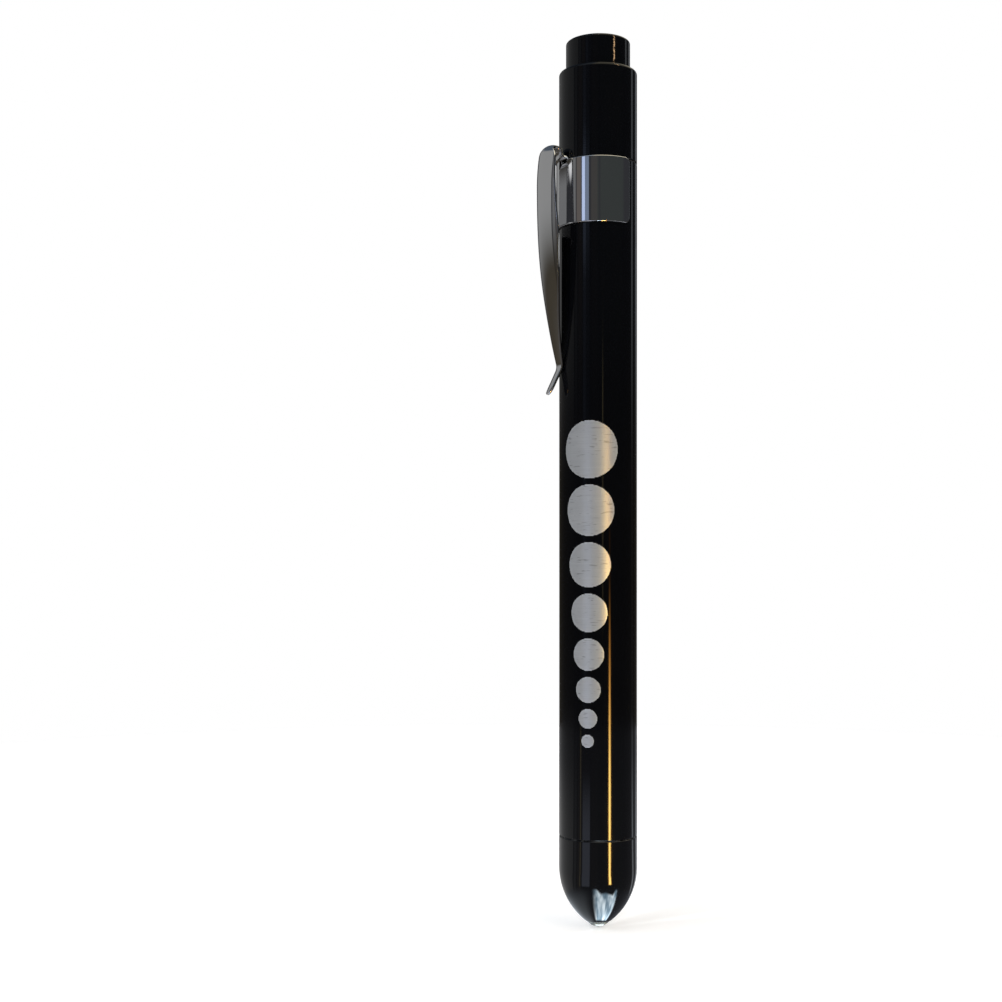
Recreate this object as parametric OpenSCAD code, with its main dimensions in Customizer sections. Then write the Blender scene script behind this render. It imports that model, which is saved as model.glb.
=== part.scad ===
// Pocket penlight with a push button in its tail, a screwed tail cap, a spring clip and two AAA cells.
// Frame: millimetres, Z along the pen, origin at the tip of the lamp, tail up, clip toward -X.
// The cells set the bore and, with their spring and the switch behind them, the length.

/* [Body] */
// wall of the barrel
wall_t = 0.7; // [0.5:0.05:1.5]
// room round the cells in the bore
cell_room = 0.25; // [0.15:0.05:0.5]
// small bevel on every edge at a seam
seam_bevel = 0.15; // [0.05:0.05:0.3]
// wall of the screwed spigots of head and tail cap
spigot_wall = 1.05; // [0.7:0.05:1.5]

/* [Head] */
// nose end to head seam
head_len = 13.55; // [11:0.05:16]
// length of the rounded nose
nose_len = 8.55; // [6:0.05:10]
// flat lip left round the lamp at the nose end
nose_lip = 0.17; // [0.1:0.01:0.6]
// length of the screwed spigot inside the barrel
head_spigot_len = 4.5; // [3:0.5:8]

/* [Lamp] */
// lamp body and dome diameter
led_d = 4.6; // [3:0.1:5]
// dome showing past the nose end
led_out = 1.05; // [0.4:0.05:1.2]
// lamp height from dome to base
led_h = 8; // [6:0.1:9]
// flange at the lamp's base, past the lamp's side
flange_out = 0.45; // [0.3:0.05:0.8]
// flange height
led_flange_h = 1; // [0.6:0.1:1.5]
// square lamp lead
lead_w = 0.5; // [0.4:0.05:0.6]
// distance between the two leads
lead_pitch = 2.54; // [2:0.01:3]
// thickness of the ground washer
washer_t = 0.4; // [0.2:0.05:0.8]
// ground washer's hole, past the flange
washer_room = 0.25; // [0.1:0.05:0.5]
// disc of the front contact
contact_d = 6; // [4:0.1:8]
// boss of the front contact, which meets the cell
contact_boss_d = 3.2; // [2:0.1:4]
// height of the disc, and of the boss on it
contact_t = 0.5; // [0.3:0.05:0.8]

/* [Cells] */
// cell diameter over its label
cell_d = 10.5; // [9.5:0.05:12]
// cell length with its nub
cell_len = 44.5; // [40:0.1:50]
// nub at the front end of a cell
cell_nub_d = 3.8; // [3:0.1:4]
// nub height
cell_nub_h = 0.8; // [0.7:0.05:1.2]
// label thickness
cell_label_t = 0.11; // [0.05:0.01:0.2]
// can edge left bare beside the label
cell_bare_len = 0.3; // [0.1:0.1:1]
// can edge round the base plate
cell_base_edge = 0.82; // [0.4:0.02:1.5]
// base plate standing past the can
cell_base_out = 0.2; // [0.1:0.05:0.4]
// depth of the seat that holds the base plate
cell_base_seat = 0.5; // [0.3:0.05:0.8]

/* [Tail cap] */
// tail seam to cap rim
cap_len = 14.7; // [11:0.1:18]
// thread pitch, one turn of the cap
thread_pitch = 1; // [0.5:0.05:1.5]
// turns until the thread lets go
thread_turns = 5; // [3:1:6]
// plain end of the spigot past its thread
thread_lead = 1; // [0.5:0.1:2]
// cap wall round the button
cap_wall = 1.05; // [0.8:0.05:1.6]
// room left under the pressed button
bottom_room = 0.3; // [0.1:0.05:1]
// wall between button bore and switch chamber
web_t = 1.2; // [0.8:0.1:2]
// rounding at the cap rim
cap_rim_r = 0.5; // [0.2:0.05:0.8]

/* [Button] */
// button standing out of the cap
button_out = 4.8; // [3:0.1:6]
// button guided inside the cap
button_in = 5.7; // [4:0.1:7]
// press travel
button_travel = 2; // [1:0.1:2.2]
// button side wall
button_wall = 0.8; // [0.5:0.05:1.2]
// button end wall
button_end_t = 1.2; // [0.8:0.1:2]
// rounding at the button's end
button_edge_r = 0.35; // [0.1:0.05:0.8]
// wall of the boss that holds the plunger
boss_wall = 1.1; // [0.6:0.05:1.4]
// boss length below the end wall
boss_len = 5; // [4.5:0.1:6]
// plunger stem diameter
plunger_d = 3; // [2:0.1:3.6]
// stem depth inside the boss
plunger_seat = 4; // [2:0.1:4.5]
// depth of the groove for the retaining clip
groove_depth = 0.4; // [0.2:0.05:0.6]
// stem standing past the groove, which meets the rivet
plunger_nose = 1.7; // [1:0.1:2]
// retaining clip thickness
ring_t = 0.5; // [0.3:0.05:0.8]
// how much narrower the retaining clip's slot is than the groove
slot_bite = 0.3; // [0.1:0.05:0.6]

/* [Switch] */
// housing wall round the plunger
housing_wall = 0.78; // [0.5:0.02:1.1]
// housing wall round the battery spring
skirt_wall = 0.68; // [0.5:0.02:1]
// room round the retaining clip
ring_room = 0.4; // [0.2:0.05:0.8]
// floor that carries the rivet
housing_floor_t = 1; // [0.6:0.1:1.6]
// housing length below its floor
housing_skirt = 4; // [2:0.1:5]
// rivet shank
rivet_d = 2.4; // [1.6:0.1:3]
// room round the rivet head that the plunger meets
rivet_head_room = 1; // [0.5:0.05:1.5]
// rivet head height
rivet_head_t = 0.55; // [0.3:0.05:0.8]
// room round the rivet tail that the battery spring meets
rivet_tail_room = 0.7; // [0.4:0.05:1.5]
// rivet tail height
rivet_tail_t = 0.45; // [0.3:0.05:0.8]

/* [Springs] */
// wire of both springs
wire_d = 0.5; // [0.3:0.05:0.6]
// curls of the return spring
return_turns = 7; // [4:1:9]
// length of the battery spring between cell and rivet
battery_spring_len = 11.38; // [8:0.01:16]
// room round the battery spring at the rivet
coil_room = 0.25; // [0.1:0.05:0.6]
// middle diameter of the battery spring at the cell
battery_coil_low_d = 4; // [3:0.1:6]
// curls of the battery spring
battery_turns = 6; // [4:1:8]

/* [Clip] */
// sheet thickness
clip_t = 0.45; // [0.3:0.05:0.6]
// band height
band_h = 10.3; // [8:0.1:12]
// half angle that the band wraps from the arm
band_half_deg = 118; // [100:1:140]
// corner radius at the band's ends
band_corner_r = 1; // [0.4:0.1:2]
// how far the corner's circle crosses the edges, so that it never just touches them
corner_bite = 0.03; // [0.01:0.01:0.1]
// tab standing clear of the turning cap
tab_clear = 0.2; // [0.1:0.05:0.4]
// slit between tab and band, room for the flex
tab_slit = 0.2; // [0.15:0.05:0.4]
// middle radius of the bend over the top
bend_r = 1.4; // [0.8:0.05:1.6]
// top of the bend above the tail seam
bend_rise = 2.45; // [1.8:0.05:3.5]
// turn of the bend
bend_deg = 172; // [140:1:175]
// farthest middle line of the arm from the barrel's face
arm_out = 3.55; // [2.6:0.05:4.3]
// depth of that place below the tail seam
arm_reach_z = 4; // [3:0.1:8]
// curvature radius across the arm
arm_cross_r = 5.6; // [5:0.1:9]
// gap between arm and barrel at the heel
heel_gap = 0.12; // [0.08:0.01:0.3]
// bend radius at the heel
heel_r = 2; // [1:0.1:8]
// depth of the heel below the tail seam
heel_z = 32.2; // [28:0.1:38]
// slope of the arm toward the heel
heel_in_deg = 12.2; // [8:0.1:16]
// flare of the tip past the heel
flare_deg = 25; // [15:1:45]
// straight end of the flared tip
flare_len = 4.2; // [0.8:0.1:6]
// radius of the rounded tip, seen from outside
tip_r = 0.9; // [0.5:0.05:1.2]
// arm width by length along the sheet
arm_width = [[0, 4.4], [1.6, 4.4], [2.8, 4.8], [4, 6], [5.4, 6.9], [8.4, 7.2], [12.4, 7.4], [15.4, 7.8], [17.6, 7.9],
    [24.6, 7], [27.6, 6.2], [30.6, 5.1], [33.6, 4], [36.1, 3.1], [38.6, 2.4], [40.6, 2.1], [45, 1.9]];
// how far the sheet is crowned by length along it, 0 flat and 1 full
arm_crown = [[0, 0], [1.2, 0.2], [2.2, 0.8], [3.2, 1], [45, 1]];

/* [Fits] */
// side clearance of a part that turns or slides
run_fit = 0.05; // [0.02:0.01:0.08]
// side clearance of a part that is pressed or screwed home
tight_fit = 0.02; // [0.01:0.01:0.05]
// end gap between parts that meet
end_gap = 0.05; // [0.02:0.01:0.1]

/* [Hidden] */
$fn = 96;
// over-cut past a face
cut = 1;
// radii from the cells outward, and from the spigots inward
bore_r = cell_d / 2 + cell_room;
body_r = bore_r + wall_t;
spigot_r = bore_r - run_fit;
inner_r = spigot_r - spigot_wall;
plug_r = inner_r - tight_fit;
can_r = cell_d / 2 - cell_label_t - tight_fit;
base_r = can_r - cell_base_edge;
chamber_r = plug_r - housing_wall;
spring_chamber_r = plug_r - skirt_wall;
plunger_r = plunger_d / 2;
groove_r = plunger_r - groove_depth;
ring_r = chamber_r - ring_room;
ring_slot_w = 2 * groove_r - slot_bite;
rivet_head_r = chamber_r - rivet_head_room;
rivet_tail_r = spring_chamber_r - rivet_tail_room;
button_r = body_r - cap_wall - run_fit;
button_in_r = button_r - button_wall;
boss_r = plunger_r + boss_wall;
return_coil_r = (boss_r + button_in_r) / 2;
battery_coil_top_r = spring_chamber_r - coil_room - wire_d / 2;
battery_coil_low_r = battery_coil_low_d / 2;
// lamp and nose
led_r = led_d / 2;
flange_r = led_r + flange_out;
washer_bore_r = flange_r + washer_room;
nose_end_r = sqrt(pow(led_r + tight_fit, 2) - pow(led_r - led_out, 2)) + nose_lip;
nose_draw = body_r - nose_end_r;
nose_arc_r = (nose_len * nose_len + nose_draw * nose_draw) / (2 * nose_draw);
// heights from the lamp up
nose_z = led_out;
shoulder_z = nose_z + nose_len;
head_z = nose_z + head_len;
head_end_z = head_z + head_spigot_len;
washer_z = led_h;
holder_z = washer_z + washer_t + tight_fit;
contact_z = head_end_z - tight_fit;
front_cell_z = contact_z + 2 * contact_t + tight_fit;
rear_cell_z = front_cell_z + cell_len + tight_fit;
cells_end_z = rear_cell_z + cell_len;
can_end = cell_len - cell_base_out;
// switch stack, from the cells up to the button
rivet_low_z = cells_end_z + battery_spring_len + 2 * end_gap;
floor_low_z = rivet_low_z + rivet_tail_t;
floor_top_z = floor_low_z + housing_floor_t;
rivet_top_z = floor_top_z + rivet_head_t;
plunger_tip_z = rivet_top_z + button_travel + end_gap;
ring_z = plunger_tip_z + plunger_nose;
web_z = ring_z + ring_t + end_gap;
bore_floor_z = web_z + web_t;
rim_z = bore_floor_z + bottom_room + button_travel + button_in;
tail_z = rim_z - cap_len;
cap_spigot_z = tail_z - thread_pitch * thread_turns - thread_lead;
top_z = rim_z + button_out;
housing_low_z = floor_low_z - housing_skirt;
button_low_z = rim_z - button_in;
button_floor_z = top_z - button_end_t;
boss_low_z = button_floor_z - boss_len;
plunger_top_z = boss_low_z + plunger_seat;
// clip sheet, as middle-line radius and height above the tail seam
band_in_r = body_r + tight_fit;
tab_line_r = body_r + tab_clear + clip_t / 2;
bend_c = [tab_line_r + bend_r, bend_rise - clip_t / 2 - bend_r];
bend_end_deg = 180 - bend_deg;
bend_end = bend_c + bend_r * [cos(bend_end_deg), sin(bend_end_deg)];
heel_line_r = body_r + heel_gap + clip_t / 2;
heel_c = [heel_line_r + heel_r, -heel_z];
heel_start = heel_c - heel_r * [cos(heel_in_deg), -sin(heel_in_deg)];
heel_end = heel_c - heel_r * [cos(flare_deg), sin(flare_deg)];
tip_end = heel_end + flare_len * [sin(flare_deg), -cos(flare_deg)];
reach_at = [body_r + arm_out, -arm_reach_z];
// handles of the two curves between bend, widest reach and heel, as shares of the leaf's run
leaf_lean = 0;
leaf_belly = 0.4;
heel_pull = 0.4;
rise_run = (bend_end.y - reach_at.y) / 2;
rise_handle = bend_end + rise_run * [tan(bend_end_deg), -1];
leaf_run = heel_z - arm_reach_z;
leaf_handle_a = reach_at - leaf_run * [leaf_lean, leaf_belly];
leaf_handle_b = heel_start + leaf_run * heel_pull * [sin(heel_in_deg), cos(heel_in_deg)];
// width left at the very end of the tip
tip_least = 0.02;
strip_sides = 8;
flat_steps = 2;
bend_steps = 14;
rise_steps = 6;
leaf_steps = 12;
heel_steps = 8;
flare_steps = 5;

function curve2(a, b, c, t) = (1 - t) * (1 - t) * a + 2 * t * (1 - t) * b + t * t * c;
function curve3(a, b, c, d, t) = (1 - t) * curve2(a, b, c, t) + t * curve2(b, c, d, t);
tab_line = [for (i = [0 : flat_steps - 1])
    [tab_line_r, tab_slit + (bend_c.y - tab_slit) * i / flat_steps]];
bend_line = [for (i = [0 : bend_steps - 1])
    let (a = 180 - bend_deg * i / bend_steps) bend_c + bend_r * [cos(a), sin(a)]];
rise_line = [for (i = [0 : rise_steps - 1]) curve2(bend_end, rise_handle, reach_at, i / rise_steps)];
leaf_line = [for (i = [0 : leaf_steps - 1])
    curve3(reach_at, leaf_handle_a, leaf_handle_b, heel_start, i / leaf_steps)];
heel_line = [for (i = [0 : heel_steps - 1])
    let (a = heel_in_deg - (heel_in_deg + flare_deg) * i / heel_steps) heel_c - heel_r * [cos(a), -sin(a)]];
flare_line = [for (i = [0 : flare_steps])
    let (t = 1 - pow(1 - i / flare_steps, 2)) heel_end + t * (tip_end - heel_end)];
clip_line = concat(tab_line, bend_line, rise_line, leaf_line, heel_line, flare_line);
clip_last = len(clip_line) - 1;
clip_run = [for (i = 0, s = 0; i <= clip_last; i = i + 1,
    s = s + (i <= clip_last ? norm(clip_line[i] - clip_line[i - 1]) : 0)) s];
clip_len = clip_run[clip_last];

function clip_tangent(i) =
    let (d = clip_line[min(i + 1, clip_last)] - clip_line[max(i - 1, 0)]) d / norm(d);
// rounded tip: the width of a circle near the end, the table elsewhere
function clip_width(s) =
    let (left = max(clip_len - s, tip_least))
    left < tip_r ? 2 * sqrt(left * (2 * tip_r - left)) : max(lookup(s, arm_width), 2 * tip_r);
// a point of the sheet: station i, place v across from -1 to 1, side 1 outer and -1 inner
function clip_point(i, v, side) =
    let (
        t = clip_tangent(i),
        n = [-t.y, t.x],
        y = v * clip_width(clip_run[i]) / 2,
        k = lookup(clip_run[i], arm_crown),
        fall = k * (arm_cross_r - sqrt(arm_cross_r * arm_cross_r - y * y)),
        lean = k * asin(y / arm_cross_r),
        q = clip_line[i] + n * (side * clip_t / 2 * cos(lean) - fall)
    ) [-q.x, y + side * clip_t / 2 * sin(lean), tail_z + q.y];
clip_points = [for (i = [0 : clip_last]) for (side = [1, -1]) for (j = [0 : strip_sides])
    clip_point(i, 2 * j / strip_sides - 1, side)];
function clip_at(i, side, j) = (2 * i + side) * (strip_sides + 1) + j;
function two(a, b, c, d) = [[a, b, c], [a, c, d]];
clip_skin = [for (i = [0 : clip_last - 1]) for (j = [0 : strip_sides - 1]) each concat(
    two(clip_at(i, 0, j), clip_at(i, 0, j + 1), clip_at(i + 1, 0, j + 1), clip_at(i + 1, 0, j)),
    two(clip_at(i, 1, j), clip_at(i + 1, 1, j), clip_at(i + 1, 1, j + 1), clip_at(i, 1, j + 1)))];
clip_sides = [for (i = [0 : clip_last - 1]) each concat(
    two(clip_at(i, 0, 0), clip_at(i + 1, 0, 0), clip_at(i + 1, 1, 0), clip_at(i, 1, 0)),
    two(clip_at(i, 0, strip_sides), clip_at(i, 1, strip_sides),
        clip_at(i + 1, 1, strip_sides), clip_at(i + 1, 0, strip_sides)))];
clip_ends = [for (j = [0 : strip_sides - 1]) each concat(
    two(clip_at(0, 0, j), clip_at(0, 1, j), clip_at(0, 1, j + 1), clip_at(0, 0, j + 1)),
    two(clip_at(clip_last, 0, j), clip_at(clip_last, 0, j + 1),
        clip_at(clip_last, 1, j + 1), clip_at(clip_last, 1, j)))];

// coil springs, as one tube along a helix
coil_rings = 8;
coil_sides = 6;
function coil_centre(t, r0, r1, z0, z1, turns) =
    let (r = r0 + (r1 - r0) * t, a = 360 * turns * t) [r * cos(a), r * sin(a), z0 + (z1 - z0) * t];
function coil_gap(r0, r1, z0, z1, turns) =
    let (n = coil_rings * turns, line = [for (i = [0 : n]) coil_centre(i / n, r0, r1, z0, z1, turns)])
    min([for (i = [0 : n]) for (k = [ceil(coil_rings / 2) : n]) if (i + k <= n)
        norm(line[i] - line[i + k])]) - wire_d;

module tube(r, bore, z0, z1) {
    difference() {
        translate([0, 0, z0]) cylinder(r = r, h = z1 - z0);
        translate([0, 0, z0 - cut]) cylinder(r = bore, h = z1 - z0 + 2 * cut);
    }
}

module disc(r, z0, z1) {
    translate([0, 0, z0]) cylinder(r = r, h = z1 - z0);
}

module coil(r0, r1, z0, z1, turns) {
    n = coil_rings * turns;
    points = [for (i = [0 : n]) for (k = [0 : coil_sides - 1])
        let (
            a = 360 * turns * i / n,
            c = coil_centre(i / n, r0, r1, z0, z1, turns),
            b = 360 * k / coil_sides
        ) c + wire_d / 2 * [cos(b) * cos(a), cos(b) * sin(a), sin(b)]];
    walls = [for (i = [0 : n - 1]) for (k = [0 : coil_sides - 1])
        let (m = (k + 1) % coil_sides, p = i * coil_sides, q = p + coil_sides)
        each two(p + k, q + k, q + m, p + m)];
    first = [for (k = [0 : coil_sides - 1]) k];
    last = [for (k = [coil_sides - 1 : -1 : 0]) n * coil_sides + k];
    polyhedron(points, concat([first, last], walls));
}

module head() {
    color("#1a1a1c") difference() {
        rotate_extrude() {
            intersection() {
                translate([body_r - nose_arc_r, shoulder_z]) circle(nose_arc_r);
                translate([0, nose_z]) square([body_r, nose_len]);
            }
            polygon([[0, shoulder_z], [body_r, shoulder_z], [body_r, head_z - seam_bevel],
                [body_r - seam_bevel, head_z], [spigot_r, head_z], [spigot_r, head_end_z],
                [0, head_end_z]]);
        }
        translate([0, 0, led_r]) sphere(led_r + tight_fit);
        disc(led_r + tight_fit, led_r, led_h);
        disc(flange_r + tight_fit, led_h - led_flange_h - tight_fit, led_h);
        disc(inner_r, led_h, head_end_z + cut);
    }
}

module led_lens() {
    color("#dfe6ee", 0.7) union() {
        translate([0, 0, led_r]) sphere(led_r);
        disc(led_r, led_r, led_h);
        disc(flange_r, led_h - led_flange_h, led_h);
    }
}

module led_leads() {
    color("#b8bcc0") {
        translate([-lead_pitch / 2 - lead_w / 2, -lead_w / 2, led_h])
            cube([lead_w, lead_w, contact_z - led_h]);
        translate([lead_pitch / 2 - lead_w / 2, -lead_w / 2, led_h])
            cube([washer_bore_r - lead_pitch / 2 + lead_w / 2 - tight_fit, lead_w, washer_t]);
    }
}

module led_holder() {
    color("#e8e6df") difference() {
        disc(plug_r, holder_z, contact_z);
        translate([-lead_pitch / 2, 0, 0]) disc(lead_w, holder_z - cut, contact_z + cut);
    }
}

module ground_washer() {
    color("#c9a14a") tube(plug_r, washer_bore_r, washer_z, washer_z + washer_t);
}

module positive_contact() {
    color("#c9a14a") union() {
        disc(contact_d / 2, contact_z, contact_z + contact_t);
        disc(contact_boss_d / 2, contact_z, contact_z + 2 * contact_t);
    }
}

module barrel() {
    color("#1a1a1c") rotate_extrude() polygon([[bore_r, head_z], [body_r - seam_bevel, head_z],
        [body_r, head_z + seam_bevel], [body_r, tail_z - seam_bevel], [body_r - seam_bevel, tail_z],
        [bore_r, tail_z]]);
}

module cell_can(z) {
    color("#c4c8cc") translate([0, 0, z]) difference() {
        union() {
            disc(cell_nub_d / 2, 0, cell_nub_h + cut);
            disc(can_r, cell_nub_h, can_end);
        }
        disc(base_r + run_fit, can_end - cell_base_seat, can_end + cut);
    }
}

module cell_base(z) {
    color("#d8dadc") translate([0, 0, z]) disc(base_r, can_end - cell_base_seat, cell_len);
}

module cell_label(z) {
    color("#3d6b52") translate([0, 0, z])
        tube(cell_d / 2, can_r + tight_fit, cell_nub_h + cell_bare_len, can_end - cell_bare_len);
}

module front_cell_can() {
    cell_can(front_cell_z);
}

module front_cell_base() {
    cell_base(front_cell_z);
}

module front_cell_label() {
    cell_label(front_cell_z);
}

module rear_cell_can() {
    cell_can(rear_cell_z);
}

module rear_cell_base() {
    cell_base(rear_cell_z);
}

module rear_cell_label() {
    cell_label(rear_cell_z);
}

module battery_spring() {
    low = cells_end_z + end_gap + wire_d / 2;
    high = rivet_low_z - end_gap - wire_d / 2;
    echo(battery_spring_gap = coil_gap(battery_coil_low_r, battery_coil_top_r, low, high, battery_turns));
    color("#c8ccd0") coil(battery_coil_low_r, battery_coil_top_r, low, high, battery_turns);
}

module contact_rivet() {
    color("#c9a14a") union() {
        disc(rivet_head_r, floor_top_z, rivet_top_z);
        disc(rivet_d / 2, rivet_low_z, rivet_top_z);
        disc(rivet_tail_r, rivet_low_z, floor_low_z);
    }
}

module switch_housing() {
    color("#e8e6df") difference() {
        disc(plug_r, housing_low_z, web_z - tight_fit);
        disc(chamber_r, floor_top_z, web_z + cut);
        disc(rivet_d / 2 + tight_fit, floor_low_z - cut, floor_top_z + cut);
        disc(spring_chamber_r, housing_low_z - cut, floor_low_z);
    }
}

module return_spring() {
    low = bore_floor_z + end_gap + wire_d / 2;
    high = button_floor_z - end_gap - wire_d / 2;
    echo(return_spring_gap = coil_gap(return_coil_r, return_coil_r, low, high, return_turns));
    color("#c8ccd0") coil(return_coil_r, return_coil_r, low, high, return_turns);
}

module tail_cap() {
    color("#1a1a1c") difference() {
        rotate_extrude() {
            polygon([[0, cap_spigot_z], [spigot_r, cap_spigot_z], [spigot_r, tail_z],
                [body_r - seam_bevel, tail_z], [body_r, tail_z + seam_bevel], [body_r, rim_z - cap_rim_r],
                [0, rim_z - cap_rim_r]]);
            translate([body_r - cap_rim_r, rim_z - cap_rim_r]) circle(cap_rim_r);
            translate([0, rim_z - 2 * cap_rim_r]) square([body_r - cap_rim_r, 2 * cap_rim_r]);
        }
        disc(inner_r, cap_spigot_z - cut, web_z);
        disc(plunger_r + run_fit, web_z - cut, bore_floor_z + cut);
        disc(button_r + run_fit, bore_floor_z, rim_z + cut);
    }
}

module push_button() {
    color("#1a1a1c") difference() {
        rotate_extrude() {
            translate([0, button_low_z]) square([button_r, top_z - button_edge_r - button_low_z]);
            translate([button_r - button_edge_r, top_z - button_edge_r]) circle(button_edge_r);
            translate([0, button_low_z]) square([button_r - button_edge_r, top_z - button_low_z]);
        }
        tube(button_in_r, boss_r, boss_low_z, button_floor_z);
        disc(button_in_r, button_low_z - cut, boss_low_z);
        disc(plunger_r + tight_fit, boss_low_z - cut, plunger_top_z + tight_fit);
    }
}

module plunger() {
    color("#c9a14a") union() {
        disc(plunger_r, ring_z + ring_t, plunger_top_z);
        disc(groove_r, plunger_tip_z, plunger_top_z);
        disc(plunger_r, plunger_tip_z, ring_z);
    }
}

module plunger_clip() {
    color("#8d9196") difference() {
        tube(ring_r, groove_r + tight_fit, ring_z + tight_fit, ring_z + ring_t - tight_fit);
        translate([0, -ring_slot_w / 2, ring_z - cut]) cube([ring_r + cut, ring_slot_w, ring_t + 2 * cut]);
    }
}

// what is cut from a corner of the band's end, looking along the radius
module band_corner(side, up) {
    z = up > 0 ? tail_z : tail_z - band_h;
    in = band_corner_r - corner_bite;
    rotate([0, 0, 180 + side * band_half_deg]) translate([body_r / 2, -side * in, z - up * in])
        rotate([90, 0, 90]) linear_extrude(body_r) difference() {
            translate([side > 0 ? 0 : -2 * band_corner_r, up > 0 ? 0 : -2 * band_corner_r])
                square(2 * band_corner_r);
            circle(band_corner_r);
        }
}

module clip_band() {
    color("#d9dadd") difference() {
        rotate([0, 0, 180 - band_half_deg]) rotate_extrude(angle = 2 * band_half_deg)
            translate([band_in_r, tail_z - band_h]) square([clip_t, band_h]);
        for (side = [-1, 1], up = [-1, 1]) band_corner(side, up);
    }
}

module clip_arm() {
    color("#d9dadd") polyhedron(clip_points, concat(clip_skin, clip_sides, clip_ends));
}

head();
led_lens();
led_leads();
led_holder();
ground_washer();
positive_contact();
barrel();
front_cell_can();
front_cell_base();
front_cell_label();
rear_cell_can();
rear_cell_base();
rear_cell_label();
battery_spring();
contact_rivet();
switch_housing();
return_spring();
tail_cap();
push_button();
plunger();
plunger_clip();
clip_band();
clip_arm();
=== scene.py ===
"""Dressed penlight: finer shells, laser marks, materials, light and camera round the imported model.

Shapes are written in millimetres: Z along the pen from the lamp to the button, clip toward -X.
"""
import math

import bmesh
import bpy
from mathutils import Matrix, Vector


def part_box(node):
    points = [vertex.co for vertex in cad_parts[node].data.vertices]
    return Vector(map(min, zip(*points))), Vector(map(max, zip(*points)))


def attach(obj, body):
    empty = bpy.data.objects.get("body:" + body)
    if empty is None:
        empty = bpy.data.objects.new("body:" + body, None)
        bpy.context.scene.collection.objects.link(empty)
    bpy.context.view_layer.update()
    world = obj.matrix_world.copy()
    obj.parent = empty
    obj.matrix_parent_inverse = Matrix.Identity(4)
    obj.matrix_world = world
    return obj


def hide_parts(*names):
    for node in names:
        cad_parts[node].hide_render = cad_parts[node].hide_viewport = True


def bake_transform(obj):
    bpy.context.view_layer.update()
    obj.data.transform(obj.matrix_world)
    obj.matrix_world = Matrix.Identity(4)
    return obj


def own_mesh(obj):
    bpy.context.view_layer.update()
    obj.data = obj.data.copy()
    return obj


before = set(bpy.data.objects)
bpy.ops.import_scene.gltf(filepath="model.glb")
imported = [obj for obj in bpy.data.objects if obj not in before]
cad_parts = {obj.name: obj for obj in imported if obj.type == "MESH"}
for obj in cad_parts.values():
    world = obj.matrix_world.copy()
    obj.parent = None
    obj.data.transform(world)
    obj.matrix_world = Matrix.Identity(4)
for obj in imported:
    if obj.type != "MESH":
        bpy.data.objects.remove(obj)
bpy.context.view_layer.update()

MM = 0.001
SIDES = 192
SUPPORT = 0.05
ARC_STEP_DEG = 15
TINY = 1e-6


def span(name):
    """Lowest and highest height of a CAD node, in millimetres."""
    low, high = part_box(name)
    return low[2] / MM, high[2] / MM


# heights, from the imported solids
NOSE_Z, HEAD_END_Z = span("head")
HEAD_Z, TAIL_Z = span("barrel")
CAP_LOW_Z, RIM_Z = span("tail_cap")
BUTTON_LOW_Z, TOP_Z = span("push_button")
LED_BASE_Z = span("led_lens")[1]
SPRING_LOW_Z, SPRING_TOP_Z = span("battery_spring")
RETURN_LOW_Z, RETURN_TOP_Z = span("return_spring")
# body
BODY_R = 6.2
BORE_R = 5.5
SPIGOT_R = 5.45
INNER_R = 4.4
SEAM_BEVEL = 0.15
SEAM_WEAR = 0.12
WEAR_REACH = 1.2 * SEAM_BEVEL
EDGE_R = 0.1
BARREL_ROW = 9.0
# screw threads of the head and the cap, and how far they stop from the seam and the spigot's end
THREAD_PITCH = 1.0
THREAD_DEPTH = 0.42
THREAD_ROW = 0.125
THREAD_GAP = 0.2
HEAD_THREAD_END = 0.3
CAP_THREAD_END = 0.4
# head and lamp
NOSE_LEN = 8.55
NOSE_END_R = 2.124
NOSE_EDGE_R = 0.06
NOSE_ROWS = 40
LED_R = 2.3
DOME_ROWS = 24
FLANGE_R = 2.75
FLANGE_H = 1.0
FLANGE_EDGE_R = 0.06
SEAT_GAP = 0.02
SEAT_ROWS = 8
LED_SEAT_R = LED_R + SEAT_GAP
FLANGE_SEAT_R = FLANGE_R + SEAT_GAP
# outlines of the cup and the phosphor inside the lamp, as radius and height, and the post beside them
LAMP_TOP_Z = 7.9
LAMP_CUP = ((0, 4.9), (0.5, 4.9), (1.0, 4.35), (1.12, 4.35), (1.12, 5.4), (0.4, 6.2),
            (0.4, LAMP_TOP_Z), (0, LAMP_TOP_Z))
LAMP_FILL = ((0, 4.3), (0.45, 4.34), (0.9, 4.44), (0.48, 4.88), (0, 4.88))
POST_OFF = 1.55
POST_R = 0.2
POST_LOW_Z = 4.7
# tail cap and button
CAP_RIM_R = 0.5
CAP_LIP_R = 0.08
CAP_END_R = 0.25
BUTTON_BORE_R = 5.15
STEM_HOLE_R = 1.55
WEB_TOP = 8.0
WEB_LOW = 9.2
BUTTON_R = 5.1
BUTTON_EDGE_R = 0.35
BUTTON_IN_R = 4.3
BUTTON_END_T = 1.2
BOSS_R = 2.6
BOSS_LEN = 5.0
PLUNGER_HOLE_R = 1.52
PLUNGER_HOLE_TOP = 2.18
# springs
WIRE_R = 0.25
COIL_POINTS = 24
BATTERY_LOW_R = 2.0
BATTERY_TOP_R = 3.2
BATTERY_TURNS = 6
RETURN_R = 3.45
RETURN_TURNS = 7


# shader nodes

# values that most of a noise lies between
NOISE_RANGE = (0.3, 0.7)


def feed(made, key, value):
    """Links a socket to a node's input, or sets a constant there. Colours are given without alpha."""
    socket = made.inputs[key]
    if isinstance(value, bpy.types.NodeSocket):
        made.id_data.links.new(value, socket)
    elif socket.type == "RGBA":
        socket.default_value = (*value, 1)
    else:
        socket.default_value = value


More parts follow.
